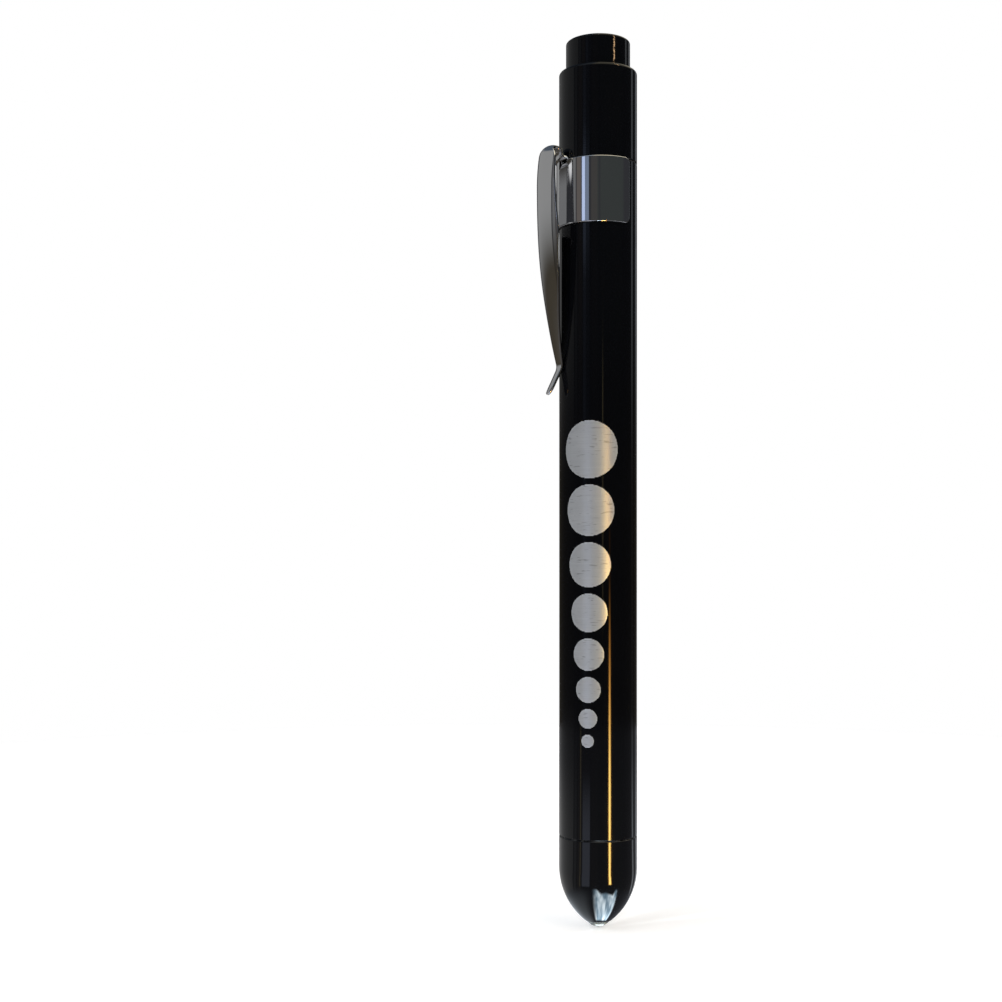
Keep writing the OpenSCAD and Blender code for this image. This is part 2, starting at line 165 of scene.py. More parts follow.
def node(kind, inputs, tree=None, **settings):
    """A shader node in a tree, or in that of the sockets among its inputs, with its settings."""
    if tree is None:
        tree = next(v.id_data for v in inputs.values() if isinstance(v, bpy.types.NodeSocket))
    made = tree.nodes.new(kind)
    for key, value in settings.items():
        setattr(made, key, value)
    for key, value in inputs.items():
        feed(made, key, value)
    return made


def calc(operation, a, b=0.0, clamp=False):
    """Result of one Math node."""
    return node("ShaderNodeMath", {0: a, 1: b}, operation=operation, use_clamp=clamp).outputs[0]


def ease(value, low, high, out_low=0.0, out_high=1.0):
    """Value taken smoothly from the range low to high into out_low to out_high."""
    inputs = {"Value": value, "From Min": low, "From Max": high, "To Min": out_low, "To Max": out_high}
    return node("ShaderNodeMapRange", inputs, interpolation_type="SMOOTHSTEP").outputs["Result"]


def times(a, b):
    """Product of two values."""
    return calc("MULTIPLY", a, b)


def mix(factor, a, b):
    """Colour a where factor is 0 and b where it is 1."""
    return node("ShaderNodeMix", {0: factor, 6: a, 7: b}, data_type="RGBA").outputs[2]


def place_mm(tree, scale):
    """Object coordinates in millimetres, stretched by scale."""
    coordinates = node("ShaderNodeTexCoord", {}, tree).outputs["Object"]
    stretch = tuple(s / MM for s in scale)
    return node("ShaderNodeMapping", {"Vector": coordinates, "Scale": stretch}).outputs[0]


def noise_at(place, detail=2.0, roughness=0.5):
    """Noise at a place, about one feature to a unit."""
    inputs = {"Vector": place, "Scale": 1.0, "Detail": detail, "Roughness": roughness}
    return node("ShaderNodeTexNoise", inputs).outputs["Fac"]


def noise(tree, scale, detail=2.0, roughness=0.5):
    """Noise on object coordinates, scale in features per millimetre along X, Y and Z."""
    return noise_at(place_mm(tree, scale), detail, roughness)


def spread(grain, low, high):
    """A noise taken into the range low to high."""
    return ease(grain, *NOISE_RANGE, low, high)


def attribute(tree, name):
    """Value that the mesh's points hold under a name."""
    return node("ShaderNodeAttribute", {}, tree, attribute_name=name).outputs["Fac"]


def bump(height, depth_mm):
    """Normal of a surface whose height runs over depth_mm."""
    return node("ShaderNodeBump", {"Height": height, "Distance": depth_mm * MM}).outputs["Normal"]


def new_material(name, **values):
    """A material, its tree and its main shader, with constant values set on the shader."""
    material = bpy.data.materials.new(name)
    material.use_nodes = True
    shader = material.node_tree.nodes["Principled BSDF"]
    for key, value in values.items():
        feed(shader, key.replace("_", " "), value)
    return material, material.node_tree, shader


# materials

# darker and lighter colour of each finish
DYE = ((0.0010, 0.0012, 0.0019), (0.0019, 0.0021, 0.0029))
CHROME = ((0.74, 0.745, 0.76), (0.80, 0.80, 0.81))
HATCHED = ((0.60, 0.61, 0.63), (0.76, 0.77, 0.79))
# the lamp's grey-green is painted shade: a dull tone given to clear epoxy to darken it
EPOXY_PAINTED_SHADE = ((0.42, 0.49, 0.48), (0.52, 0.58, 0.57))
PHOSPHOR = ((0.62, 0.50, 0.12), (0.78, 0.66, 0.22))
TINNED = ((0.56, 0.57, 0.58), (0.66, 0.67, 0.68))
BRASS = ((0.62, 0.43, 0.16), (0.74, 0.54, 0.24))
NICKEL = ((0.58, 0.58, 0.58), (0.68, 0.68, 0.68))
WIRE = ((0.54, 0.55, 0.57), (0.66, 0.67, 0.69))
INSULATOR = ((0.74, 0.73, 0.68), (0.82, 0.81, 0.77))
SLEEVE = ((0.05, 0.15, 0.09), (0.09, 0.22, 0.14))
# where the dye is rubbed off, and the laser's clouds, misses and rims
BARE_METAL = (0.42, 0.43, 0.44)
MARK_CLOUD = (0.56, 0.57, 0.59)
MARK_MISS = (0.20, 0.20, 0.21)
MARK_RIM = (0.88, 0.89, 0.90)


def anodised_black():
    """Deep black dyed anodising on turned aluminium, rubbed bare at the seams."""
    material, tree, shader = new_material("anodised_black", IOR=1.36)
    patch = noise(tree, (1.6, 1.6, 1.6), 4.0, 0.6)
    rubbed = calc("MULTIPLY", attribute(tree, "wear"), ease(patch, 0.35, 0.65), clamp=True)
    dye = mix(noise(tree, (0.12, 0.12, 0.05), 3.0), *DYE)
    feed(shader, "Base Color", mix(rubbed, dye, BARE_METAL))
    feed(shader, "Metallic", times(rubbed, 0.7))
    smears = noise(tree, (0.25, 0.25, 0.10), 4.0, 0.6)
    gloss = ease(smears, 0.3, 0.75, 0.055, 0.105)
    feed(shader, "Roughness", calc("ADD", gloss, times(rubbed, 0.3)))
    rings = noise(tree, (0.02, 0.02, 7.0), 3.0, 0.6)
    grain = noise(tree, (4.0, 4.0, 4.0), 3.0, 0.6)
    feed(shader, "Normal", bump(calc("ADD", rings, times(grain, 0.5)), 0.0016))
    return material


def polished_chrome():
    """Bright plating on spring steel, with faint polishing lines along the sheet."""
    material, tree, shader = new_material("polished_chrome", Metallic=1.0)
    feed(shader, "Base Color", mix(noise(tree, (0.3, 0.3, 0.15), 3.0), *CHROME))
    lines = noise(tree, (5.0, 5.0, 0.12), 3.0, 0.6)
    feed(shader, "Roughness", spread(lines, 0.025, 0.055))
    pits = noise(tree, (2.2, 2.2, 1.6), 5.0, 0.65)
    feed(shader, "Normal", bump(calc("ADD", times(lines, 0.25), pits), 0.0006))
    return material


def laser_mark():
    """Bare aluminium where a laser took the dye off: hatch lines, a lighter rim and small misses."""
    material, tree, shader = new_material("laser_mark", Metallic=0.75, Anisotropic=1.0)
    feed(shader, "Tangent", node("ShaderNodeCombineXYZ", {"Z": 1.0}, tree).outputs[0])
    hatch = noise(tree, (0.15, 0.15, 6.5), 2.0, 0.4)
    cloud = noise(tree, (0.35, 0.35, 0.35), 3.0)
    misses = ease(noise(tree, (0.55, 0.55, 4.5), 3.0, 0.55), 0.60, 0.70)
    base = mix(hatch, *HATCHED)
    base = mix(spread(cloud, 0.0, 0.25), base, MARK_CLOUD)
    base = mix(times(misses, 0.55), base, MARK_MISS)
    base = mix(times(attribute(tree, "rim"), 0.6), base, MARK_RIM)
    feed(shader, "Base Color", base)
    feed(shader, "Roughness", spread(hatch, 0.52, 0.66))
    grain = noise(tree, (3.0, 3.0, 3.0), 3.0, 0.6)
    feed(shader, "Normal", bump(calc("ADD", hatch, grain), 0.006))
    return material


def clear_epoxy():
    """Clear lamp body with a trace of moulding haze, and a dull grey-green diffuse share that is painted
    shade, darker than clear epoxy.
    """
    material, tree, shader = new_material("clear_epoxy", IOR=1.5, Transmission_Weight=0.55)
    haze = noise(tree, (0.8, 0.8, 0.8), 3.0)
    # grey-green base colour in place of full transmission: painted shade that darkens the lamp
    feed(shader, "Base Color", mix(haze, *EPOXY_PAINTED_SHADE))
    feed(shader, "Roughness", spread(haze, 0.0, 0.05))
    return material


def phosphor():
    """Yellow phosphor over the lamp's chip."""
    material, tree, shader = new_material("phosphor", Roughness=0.6)
    feed(shader, "Base Color", mix(noise(tree, (9.0, 9.0, 9.0)), *PHOSPHOR))
    return material


def grained(name, colours, cloud, grain, rough, depth_mm, **values):
    """A finish with clouds in its colour, and a grain in its gloss and its surface."""
    material, tree, shader = new_material(name, **values)
    feed(shader, "Base Color", mix(noise(tree, *cloud), *colours))
    lines = noise(tree, *grain)
    feed(shader, "Roughness", spread(lines, *rough))
    feed(shader, "Normal", bump(lines, depth_mm))
    return material


def plain_metal(name, colours, rough, lines):
    """Bare or plated metal with drawn or turned lines, given as lines per millimetre."""
    cloud = ((0.4, 0.4, 0.4), 4.0)
    return grained(name, colours, cloud, (lines, 3.0, 0.6), rough, 0.003, Metallic=1.0)


def white_plastic():
    """Moulded white insulator."""
    cloud = ((0.5, 0.5, 0.5), 3.0)
    grain = ((6.0, 6.0, 6.0), 3.0)
    return grained("white_plastic", INSULATOR, cloud, grain, (0.38, 0.52), 0.006)


def cell_sleeve():
    """Plain green shrink sleeve of a cell, wrinkled a little along its length."""
    cloud = ((0.15, 0.15, 0.05), 3.0)
    folds = ((1.5, 1.5, 0.1), 3.0)
    return grained("cell_sleeve", SLEEVE, cloud, folds, (0.22, 0.34), 0.02)


# meshes


def make_piece(name, points, faces, material, sharp_deg=40):
    """A mesh object from points in millimetres, smooth except at corners sharper than sharp_deg."""
    mesh = bpy.data.meshes.new(name)
    mesh.from_pydata([(x * MM, y * MM, z * MM) for x, y, z in points], [], faces)
    build = bmesh.new()
    build.from_mesh(mesh)
    bmesh.ops.recalc_face_normals(build, faces=build.faces)
    build.to_mesh(mesh)
    build.free()
    mesh.shade_smooth()
    mesh.set_sharp_from_angle(angle=math.radians(sharp_deg))
    mesh.materials.append(material)
    piece = bpy.data.objects.new(name, mesh)
    bpy.context.scene.collection.objects.link(piece)
    return piece


def set_attribute(piece, name, values):
    """A float for each point of the piece's mesh."""
    piece.data.attributes.new(name, "FLOAT", "POINT").data.foreach_set("value", values)


def quads(first, second, closed=True):
    """Faces between two rows of point numbers, triangles where one of them has shrunk to a point."""
    pairs = list(zip(first, second))
    if closed:
        pairs.append(pairs[0])
    faces = [tuple(dict.fromkeys((a, b, d, c))) for (a, c), (b, d) in zip(pairs, pairs[1:])]
    return [face for face in faces if len(face) > 2]


def corner_arc(before, corner, after, radius):
    """Points of an arc that turns a corner, with a row close to both its ends."""
    corner = Vector(corner)
    back = (Vector(before) - corner).normalized()
    ahead = (Vector(after) - corner).normalized()
    half = back.angle(ahead) / 2
    reach = radius / math.tan(half)
    centre = corner + (back + ahead).normalized() * (radius / math.sin(half))
    start = corner + back * reach - centre
    turn = math.pi - 2 * half
    if back.x * ahead.y - back.y * ahead.x > 0:
        turn = -turn
    steps = max(3, math.ceil(abs(turn) / math.radians(ARC_STEP_DEG)))
    arc = [centre + Matrix.Rotation(turn * k / steps, 2) @ start for k in range(steps + 1)]
    first = arc[0] + back * SUPPORT
    last = arc[-1] + ahead * SUPPORT
    return [tuple(p) for p in [first, *arc, last]]


def rounded(corners):
    """An outline through corners (r, z) or (r, z, radius), those with a radius turned on an arc."""
    outline = []
    for i, corner in enumerate(corners):
        if len(corner) == 2:
            outline.append(corner)
            continue
        before = corners[i - 1][:2]
        after = corners[(i + 1) % len(corners)][:2]
        outline += corner_arc(before, corner[:2], after, corner[2])
    return outline


def rows(r, start, end, step):
    """Corners along a straight side, between start and end."""
    count = max(2, round(abs(end - start) / step))
    return [(r, start + (end - start) * i / count) for i in range(1, count)]


def lathe(name, outline, material, closed=True, relief=None, wear=None):
    """A turned piece: the outline swept round Z, closed on itself or at the axis."""
    points, faces, rings, worn = [], [], [], []
    for r, z in outline:
        if r < TINY:
            rings.append([len(points)] * SIDES)
            points.append((0, 0, z))
            worn.append(0.0)
            continue
        rings.append(list(range(len(points), len(points) + SIDES)))
        for k in range(SIDES):
            angle = 2 * math.pi * k / SIDES
            radius = relief(r, z, angle) if relief else r
            points.append((radius * math.cos(angle), radius * math.sin(angle), z))
            worn.append(wear(r, z) if wear else 0.0)
    pairs = list(zip(rings, rings[1:]))
    if closed:
        pairs.append((rings[-1], rings[0]))
    for a, b in pairs:
        faces += quads(a, b)
    piece = make_piece(name, points, faces, material)
    set_attribute(piece, "wear", worn)
    return piece


def thread_relief(low, high):
    """Cut of a right-hand screw thread into the spigot, faded over a pitch at both heights."""
    def relief(r, z, angle):
        if abs(r - SPIGOT_R) > TINY or not low < z < high:
            return r
        phase = z / THREAD_PITCH - angle / (2 * math.pi)
        fade = min(1.0, (z - low) / THREAD_PITCH, (high - z) / THREAD_PITCH)
        return r - THREAD_DEPTH * fade * (0.5 - 0.5 * math.cos(2 * math.pi * phase))
    return relief


def seam_wear(seam):
    """Rubbed edges beside a seam, on the outside of the body."""
    def wear(r, z):
        near = max(0.0, 1 - abs(z - seam) / WEAR_REACH)
        return SEAM_WEAR * near if r > BODY_R - WEAR_REACH else 0.0
    return wear


def arc_points(centre, radius, start_deg, end_deg, count):
    """Points along an arc in a plane, both ends included."""
    points = []
    for i in range(count + 1):
        a = math.radians(start_deg + (end_deg - start_deg) * i / count)
        points.append((centre[0] + radius * math.cos(a), centre[1] + radius * math.sin(a)))
    return points


def bevelled(z, up):
    """The two corners of a seam's bevel: up is 1 where the piece goes on above the seam."""
    edge = (BODY_R - SEAM_BEVEL, z, EDGE_R)
    side = (BODY_R, z + up * SEAM_BEVEL, EDGE_R)
    return [edge, side] if up > 0 else [side, edge]


# turned pieces


def make_head(material):
    """Head with its rounded nose, lamp seat and threaded spigot."""
    shoulder = NOSE_Z + NOSE_LEN
    draw = BODY_R - NOSE_END_R
    arc_r = (NOSE_LEN ** 2 + draw ** 2) / (2 * draw)
    low_deg = -math.degrees(math.asin(NOSE_LEN / arc_r))
    nose = arc_points((BODY_R - arc_r, shoulder), arc_r, low_deg, 0, NOSE_ROWS)
    seat_deg = -math.degrees(math.asin((LED_R - NOSE_Z) / LED_SEAT_R))
    seat = arc_points((0, LED_R), LED_SEAT_R, 0, seat_deg, SEAT_ROWS)
    ledge = LED_BASE_Z - FLANGE_H - SEAT_GAP
    corners = [(*nose[0], NOSE_EDGE_R)] + nose[1:]
    corners += bevelled(HEAD_Z, -1)
    corners += [(SPIGOT_R, HEAD_Z)]
    corners += rows(SPIGOT_R, HEAD_Z, HEAD_END_Z, THREAD_ROW)
    corners += [(SPIGOT_R, HEAD_END_Z), (INNER_R, HEAD_END_Z), (INNER_R, LED_BASE_Z)]
    corners += [(FLANGE_SEAT_R, LED_BASE_Z), (FLANGE_SEAT_R, ledge), (LED_SEAT_R, ledge)]
    corners += seat
    thread = thread_relief(HEAD_Z + THREAD_GAP, HEAD_END_Z - HEAD_THREAD_END)
    piece = lathe("head_shell", rounded(corners), material, relief=thread, wear=seam_wear(HEAD_Z))
    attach(piece, "barrel")
    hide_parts("head")


def make_barrel(material):
    """Straight tube between the two seams."""
    corners = [(BORE_R, HEAD_Z)] + bevelled(HEAD_Z, 1)
    corners += rows(BODY_R, HEAD_Z, TAIL_Z, BARREL_ROW)
    corners += bevelled(TAIL_Z, -1) + [(BORE_R, TAIL_Z)]
    corners += rows(BORE_R, TAIL_Z, HEAD_Z, BARREL_ROW)
    piece = lathe("barrel_tube", rounded(corners), material, wear=seam_wear(HEAD_Z))
    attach(piece, "barrel")
    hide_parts("barrel")


def make_cap(material):
    """Tail cap with its threaded spigot, web and button bore."""
    thread_low = CAP_LOW_Z + CAP_THREAD_END
    web_top, web_low = RIM_Z - WEB_TOP, RIM_Z - WEB_LOW
    corners = bevelled(TAIL_Z, 1)
    corners += [(BODY_R, RIM_Z, CAP_RIM_R), (BUTTON_BORE_R, RIM_Z, CAP_LIP_R), (BUTTON_BORE_R, web_top)]
    corners += [(STEM_HOLE_R, web_top), (STEM_HOLE_R, web_low), (INNER_R, web_low)]
    corners += [(INNER_R, CAP_LOW_Z), (SPIGOT_R, CAP_LOW_Z, CAP_END_R)]
    corners += rows(SPIGOT_R, thread_low, TAIL_Z, THREAD_ROW)
    corners += [(SPIGOT_R, TAIL_Z)]
    thread = thread_relief(thread_low, TAIL_Z - THREAD_GAP)
    piece = lathe("cap_shell", rounded(corners), material, relief=thread)
    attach(piece, "cap")
    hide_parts("tail_cap")


def make_button(material):
    """Hollow push button with the boss that holds the plunger."""
    floor = TOP_Z - BUTTON_END_T
    boss = floor - BOSS_LEN
    hole_top = TOP_Z - PLUNGER_HOLE_TOP
    corners = [(0, TOP_Z), (BUTTON_R, TOP_Z, BUTTON_EDGE_R), (BUTTON_R, BUTTON_LOW_Z, EDGE_R)]
    corners += [(BUTTON_IN_R, BUTTON_LOW_Z, EDGE_R), (BUTTON_IN_R, floor), (BOSS_R, floor)]
    corners += [(BOSS_R, boss, EDGE_R), (PLUNGER_HOLE_R, boss), (PLUNGER_HOLE_R, hole_top), (0, hole_top)]
    piece = lathe("button_cup", rounded(corners), material, closed=False)
    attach(piece, "button")
    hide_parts("push_button")


def make_lamp(epoxy, silver, glow):
    """Clear lamp with the cup, phosphor and post that show inside it."""
    flange = LED_BASE_Z - FLANGE_H
    corners = arc_points((0, LED_R), LED_R, -90, 0, DOME_ROWS)
    corners += [(LED_R, flange), (FLANGE_R, flange, FLANGE_EDGE_R)]
    corners += [(FLANGE_R, LED_BASE_Z, FLANGE_EDGE_R), (0, LED_BASE_Z)]
    lens = lathe("lamp_lens", rounded(corners), epoxy, closed=False)
    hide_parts("led_lens")
    cup_piece = lathe("lamp_cup", LAMP_CUP, silver, closed=False)
    fill_piece = lathe("lamp_phosphor", LAMP_FILL, glow, closed=False)
    post_line = [(POST_OFF, 0, POST_LOW_Z), (POST_OFF, 0, LAMP_TOP_Z)]
    post = tube("lamp_post", post_line, POST_R, silver)
    for piece in (lens, cup_piece, fill_piece, post):
        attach(piece, "barrel")


# springs


def tube(name, line, radius, material, sides=12):
    """A round wire along a line of points, closed at both ends."""
    points = []
    last = len(line) - 1
    for i, at in enumerate(line):
        ahead = (Vector(line[min(i + 1, last)]) - Vector(line[max(i - 1, 0)])).normalized()
        out = Vector((at[0], at[1], 0)).normalized()
        side = ahead.cross(out).normalized()
        out = side.cross(ahead).normalized()
        for k in range(sides):
            a = 2 * math.pi * k / sides
            points.append(tuple(Vector(at) + radius * (math.cos(a) * out + math.sin(a) * side)))
    rings = [tuple(range(i * sides, (i + 1) * sides)) for i in range(len(line))]
    faces = [rings[0], rings[-1]]
    for a, b in zip(rings, rings[1:]):
        faces += quads(a, b)
    return make_piece(name, points, faces, material)


def helix(r_low, r_top, low, high, turns):
    """Middle line of a coil."""
    count = COIL_POINTS * turns
    line = []
    for i in range(count + 1):
        t = i / count
        r = r_low + (r_top - r_low) * t
        a = 2 * math.pi * turns * t
        line.append((r * math.cos(a), r * math.sin(a), low + (high - low) * t))
    return line


def make_springs(material):
    """Cone of wire behind the cells, and the coil that lifts the button."""
    line = helix(BATTERY_LOW_R, BATTERY_TOP_R, SPRING_LOW_Z + WIRE_R, SPRING_TOP_Z - WIRE_R, BATTERY_TURNS)
    cone = tube("cell_spring_coil", line, WIRE_R, material)
    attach(cone, "cell_spring")
    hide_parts("battery_spring")
    line = helix(RETURN_R, RETURN_R, RETURN_LOW_Z + WIRE_R, RETURN_TOP_Z - WIRE_R, RETURN_TURNS)
    coil = tube("button_spring_coil", line, WIRE_R, material)
    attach(coil, "cap")
    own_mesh(coil)
    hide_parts("return_spring")


# spring clip: one sheet, drawn as its middle surface and given its thickness

CLIP_T = 0.45
BAND_R = 6.445
BAND_H = 10.3
BAND_HALF_DEG = 118
BAND_CORNER_R = 1.0
TAB_R = 6.625
TAB_SLIT = 0.2
ROOT_HALF = 2.7
TAB_HALF = 2.2
ROOT_RISE = 0.5
ROOT_FLAT = 0.79
BEND_C = (8.025, 0.825)
BEND_R = 1.4
BEND_DEG = 172
REACH = (9.75, -4.0)
HEEL_C = (8.545, -32.2)
HEEL_R = 2.0
HEEL_IN_DEG = 12.2
FLARE_DEG = 25
FLARE_LEN = 4.2
TIP_R = 0.9
CROSS_R = 5.6
LEAF_BELLY = 0.4
HEEL_PULL = 0.4
# radius, and height from the seam, where the sheet starts to follow the arm and where it follows it fully
FLEX_START = (6.67, -10.7)
FLEX_END = (7.418, -10.745)
# rows of points along the arm, from its root to its tip, and round the band
ROOT_ROWS = 8
BEND_ROWS = 24
REACH_ROWS = 12
LEAF_ROWS = 40
HEEL_ROWS = 16
FLARE_ROWS = 14
BAND_ROWS = 16
CORNER_ROWS = 12
# width of the arm, and share of its crown, by length along the sheet
ARM_WIDTH = ((0, 4.4), (1.6, 4.4), (2.8, 4.8), (4, 6), (5.4, 6.9), (8.4, 7.2), (12.4, 7.4), (15.4, 7.8),
             (17.6, 7.9), (24.6, 7), (27.6, 6.2), (30.6, 5.1), (33.6, 4), (36.1, 3.1), (38.6, 2.4),
             (40.6, 2.1), (45, 1.9))
ARM_CROWN = ((0, 0), (1.2, 0.2), (2.2, 0.8), (3.2, 1), (45, 1))
# places near an edge of the sheet, where its edge is rounded, and shares of what lies between
EDGE_ROWS = (0.0, 0.012, 0.04, 0.08, 0.12, 0.17, 0.23)
EDGE_ROUND = 0.12
ARM_SHARES = (0.8, 0.55, 0.28)
BAND_SHARES = (0.75, 0.5, 0.25)
SHEET_SHARP_DEG = 50
MERGE = 1e-4


def smooth(t):
    """Smooth step from 0 to 1."""
    t = min(1.0, max(0.0, t))
    return t * t * (3 - 2 * t)


def lookup(table, s):
    """Value at s on straight lines between a table's pairs."""
    for (a, low), (b, high) in zip(table, table[1:]):
        if s <= b:
            return low + (high - low) * max(0.0, s - a) / (b - a)
    return table[-1][1]


def bezier(points, t):
    """Point at t on the curve of its control points."""
    points = [Vector(p) for p in points]
    while len(points) > 1:
        points = [a.lerp(b, t) for a, b in zip(points, points[1:])]
    return points[0]


def arm_line():
    """Middle line of the arm from the band over the bend to the tip: radius, and height above the seam."""
    line = []
    for i in range(1, ROOT_ROWS + 1):
        z = ROOT_FLAT * i / ROOT_ROWS
        line.append(Vector((BAND_R + (TAB_R - BAND_R) * smooth(z / ROOT_RISE), z)))
    end_deg = 180 - BEND_DEG
    line += [Vector(p) for p in arc_points(BEND_C, BEND_R, 180, end_deg, BEND_ROWS)]
    bend_end = line[-1]
    run = (bend_end.y - REACH[1]) / 2
    rise = [bend_end, bend_end + run * Vector((math.tan(math.radians(end_deg)), -1)), REACH]
    line += [bezier(rise, i / REACH_ROWS) for i in range(1, REACH_ROWS + 1)]
    heel = [Vector(p) for p in arc_points(HEEL_C, HEEL_R, 180 - HEEL_IN_DEG, 180 + FLARE_DEG, HEEL_ROWS)]
    heel_in = math.radians(HEEL_IN_DEG)
    leaf_run = REACH[1] - HEEL_C[1]
    leaf = [REACH, Vector(REACH) - leaf_run * Vector((0, LEAF_BELLY)),
            heel[0] + leaf_run * HEEL_PULL * Vector((math.sin(heel_in), math.cos(heel_in))), heel[0]]
    line += [bezier(leaf, i / LEAF_ROWS) for i in range(1, LEAF_ROWS + 1)]
    line += heel[1:]
    flare = math.radians(FLARE_DEG)
    for i in range(1, FLARE_ROWS + 1):
        t = 1 - (1 - i / FLARE_ROWS) ** 2
        line.append(heel[-1] + t * FLARE_LEN * Vector((math.sin(flare), -math.cos(flare))))
    return line


def edge_half(d):
    """Half the sheet's thickness at distance d from its edge."""
    if d >= EDGE_ROUND:
        return CLIP_T / 2
    return CLIP_T / 2 * math.sqrt(max(0.0, 1 - (1 - d / EDGE_ROUND) ** 2))


def across(half):
    """Places across a strip, close together near its two edges."""
    squeeze = min(1.0, 0.5 * half / EDGE_ROUND)
    side = [half - squeeze * d for d in EDGE_ROWS]
    inner = [side[-1] * s for s in ARM_SHARES]
    right = side + inner
    return [-y for y in right] + [0.0] + right[::-1]


class Sheet:
    """Points of the middle surface with their distance from the nearest free edge, and its faces."""

    def __init__(self):
        self.points = []
        self.depths = []
        self.faces = []

    def add(self, point, depth):
        """Adds a point and gives its number."""
        self.points.append(point)
        self.depths.append(depth)
        return len(self.points) - 1

    def skin(self, first, second):
        """Faces between two rows of point numbers."""
        self.faces += quads(first, second, closed=False)


def band_columns():
    """Places round the band, measured along it from the arm, and the number of the tab's first and last."""
    half = BAND_R * math.radians(BAND_HALF_DEG)
    tab = [BAND_R * math.asin(y / BAND_R) for y in across(ROOT_HALF)]
    start, end = tab[-1], half - BAND_CORNER_R
    side = [start + (end - start) * i / BAND_ROWS for i in range(1, BAND_ROWS + 1)]
    for i in range(1, CORNER_ROWS + 1):
        side.append(half - BAND_CORNER_R * (1 - math.sin(math.pi / 2 * i / CORNER_ROWS)))
    side += [half - d for d in EDGE_ROWS]
    side = sorted(set(round(u, 4) for u in side))
    left = [-u for u in reversed(side)]
    return left + tab + side, len(left), len(left) + len(tab) - 1


def band_depth(u, z, top, low, tab_u, half):
    """Distance of a place on the band from the nearest free edge."""
    near_top = top - z if abs(u) > tab_u else math.hypot(tab_u - abs(u), z)
    return max(0.0, min(near_top, z - low, half - abs(u)))


def add_band(sheet):
    """The band's rows of points. Gives the numbers along its upper edge where the tab starts."""
    columns, first, last = band_columns()
    half = columns[-1]
    tab_u = columns[last]
    heights = [BAND_H - d for d in EDGE_ROWS] + [BAND_H * s for s in BAND_SHARES]
    heights += reversed(EDGE_ROWS)
    grid = []
    for u in columns:
        gone = max(0.0, 1 - (half - abs(u)) / BAND_CORNER_R)
        inset = BAND_CORNER_R * (1 - math.sqrt(1 - gone * gone))
        share = (BAND_H - 2 * inset) / BAND_H
        angle = u / BAND_R
        column = []
        for h in heights:
            z = -BAND_H + inset + h * share
            at = (-BAND_R * math.cos(angle), BAND_R * math.sin(angle), TAIL_Z + z)
            column.append(sheet.add(at, band_depth(u, z, -inset, -BAND_H + inset, tab_u, half)))
        grid.append(column)
    for a, b in zip(grid, grid[1:]):
        sheet.skin(a, b)
    return [grid[i][0] for i in range(first, last + 1)]


def add_arm(sheet, root):
    """The arm's rows of points, going on from the tab's first row."""
    line = arm_line()
    lengths = [line[0].y - TAB_SLIT]
    for a, b in zip(line, line[1:]):
        lengths.append(lengths[-1] + (b - a).length)
    total = lengths[-1]
    before = Vector((BAND_R, 0))
    row = root
    for i, at in enumerate(line):
        ahead = line[min(i + 1, len(line) - 1)] - (line[i - 1] if i else before)
        ahead.normalize()
        out = Vector((-ahead.y, ahead.x))
        s, left = lengths[i], total - lengths[i]
        half = max(lookup(ARM_WIDTH, s) / 2, TIP_R)
        rising = i < ROOT_ROWS
        if rising:
            half = TAB_HALF + (ROOT_HALF - TAB_HALF) * max(0.0, 1 - at.y / ROOT_RISE) ** 2
        if left < TIP_R:
            half = math.sqrt(max(0.0, left * (2 * TIP_R - left)))
        new = []
        for y in across(half) if half > TINY else [0.0] * len(root):
            crown = lookup(ARM_CROWN, s) * (CROSS_R - math.sqrt(CROSS_R ** 2 - y * y))
            if rising:
                follow = 1 - smooth(at.y / ROOT_FLAT)
                crown = -follow * (BAND_R - math.sqrt(BAND_R ** 2 - y * y))
            q = at - out * crown
            depth = half - abs(y)
            if left < TIP_R:
                depth = TIP_R - math.hypot(y, TIP_R - left)
            new.append(sheet.add((-q.x, y, TAIL_Z + q.y), max(0.0, depth)))
        sheet.skin(row, new)
        row = new


def thicken(sheet, name, material):
    """The sheet as a closed solid: both faces, which meet at the rounded free edges."""
    build = bmesh.new()
    corners = [build.verts.new(p) for p in sheet.points]
    for face in sheet.faces:
        build.faces.new([corners[k] for k in face])
    bmesh.ops.recalc_face_normals(build, faces=build.faces)
    build.normal_update()
    points, upper, lower = [], [], []
    for k, corner in enumerate(corners):
        reach = edge_half(sheet.depths[k])
        upper.append(len(points))
        points.append(tuple(corner.co + corner.normal * reach))
        if reach > TINY:
            lower.append(len(points))
            points.append(tuple(corner.co - corner.normal * reach))
        else:
            lower.append(upper[-1])
    faces = [tuple(upper[c.index] for c in f.verts) for f in build.faces]
    faces += [tuple(lower[c.index] for c in reversed(f.verts)) for f in build.faces]
    build.free()
    piece = make_piece(name, points, faces, material, SHEET_SHARP_DEG)
    mend = bmesh.new()
    mend.from_mesh(piece.data)
    bmesh.ops.remove_doubles(mend, verts=mend.verts, dist=MERGE * MM)
    mend.to_mesh(piece.data)
    mend.free()
    return piece


def make_clip(material):
    """Spring clip: a band that grips the barrel, and the arm bent over from its upper edge."""
    sheet = Sheet()
    root = add_band(sheet)
    add_arm(sheet, root)
    piece = thicken(sheet, "spring_clip", material)
    start, end = (Vector((-r, 0, TAIL_Z + z)) * MM for r, z in (FLEX_START, FLEX_END))
    tuple(start)
    tuple(end)
    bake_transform(piece)
    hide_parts("clip_band", "clip_arm")


# laser marks on the barrel

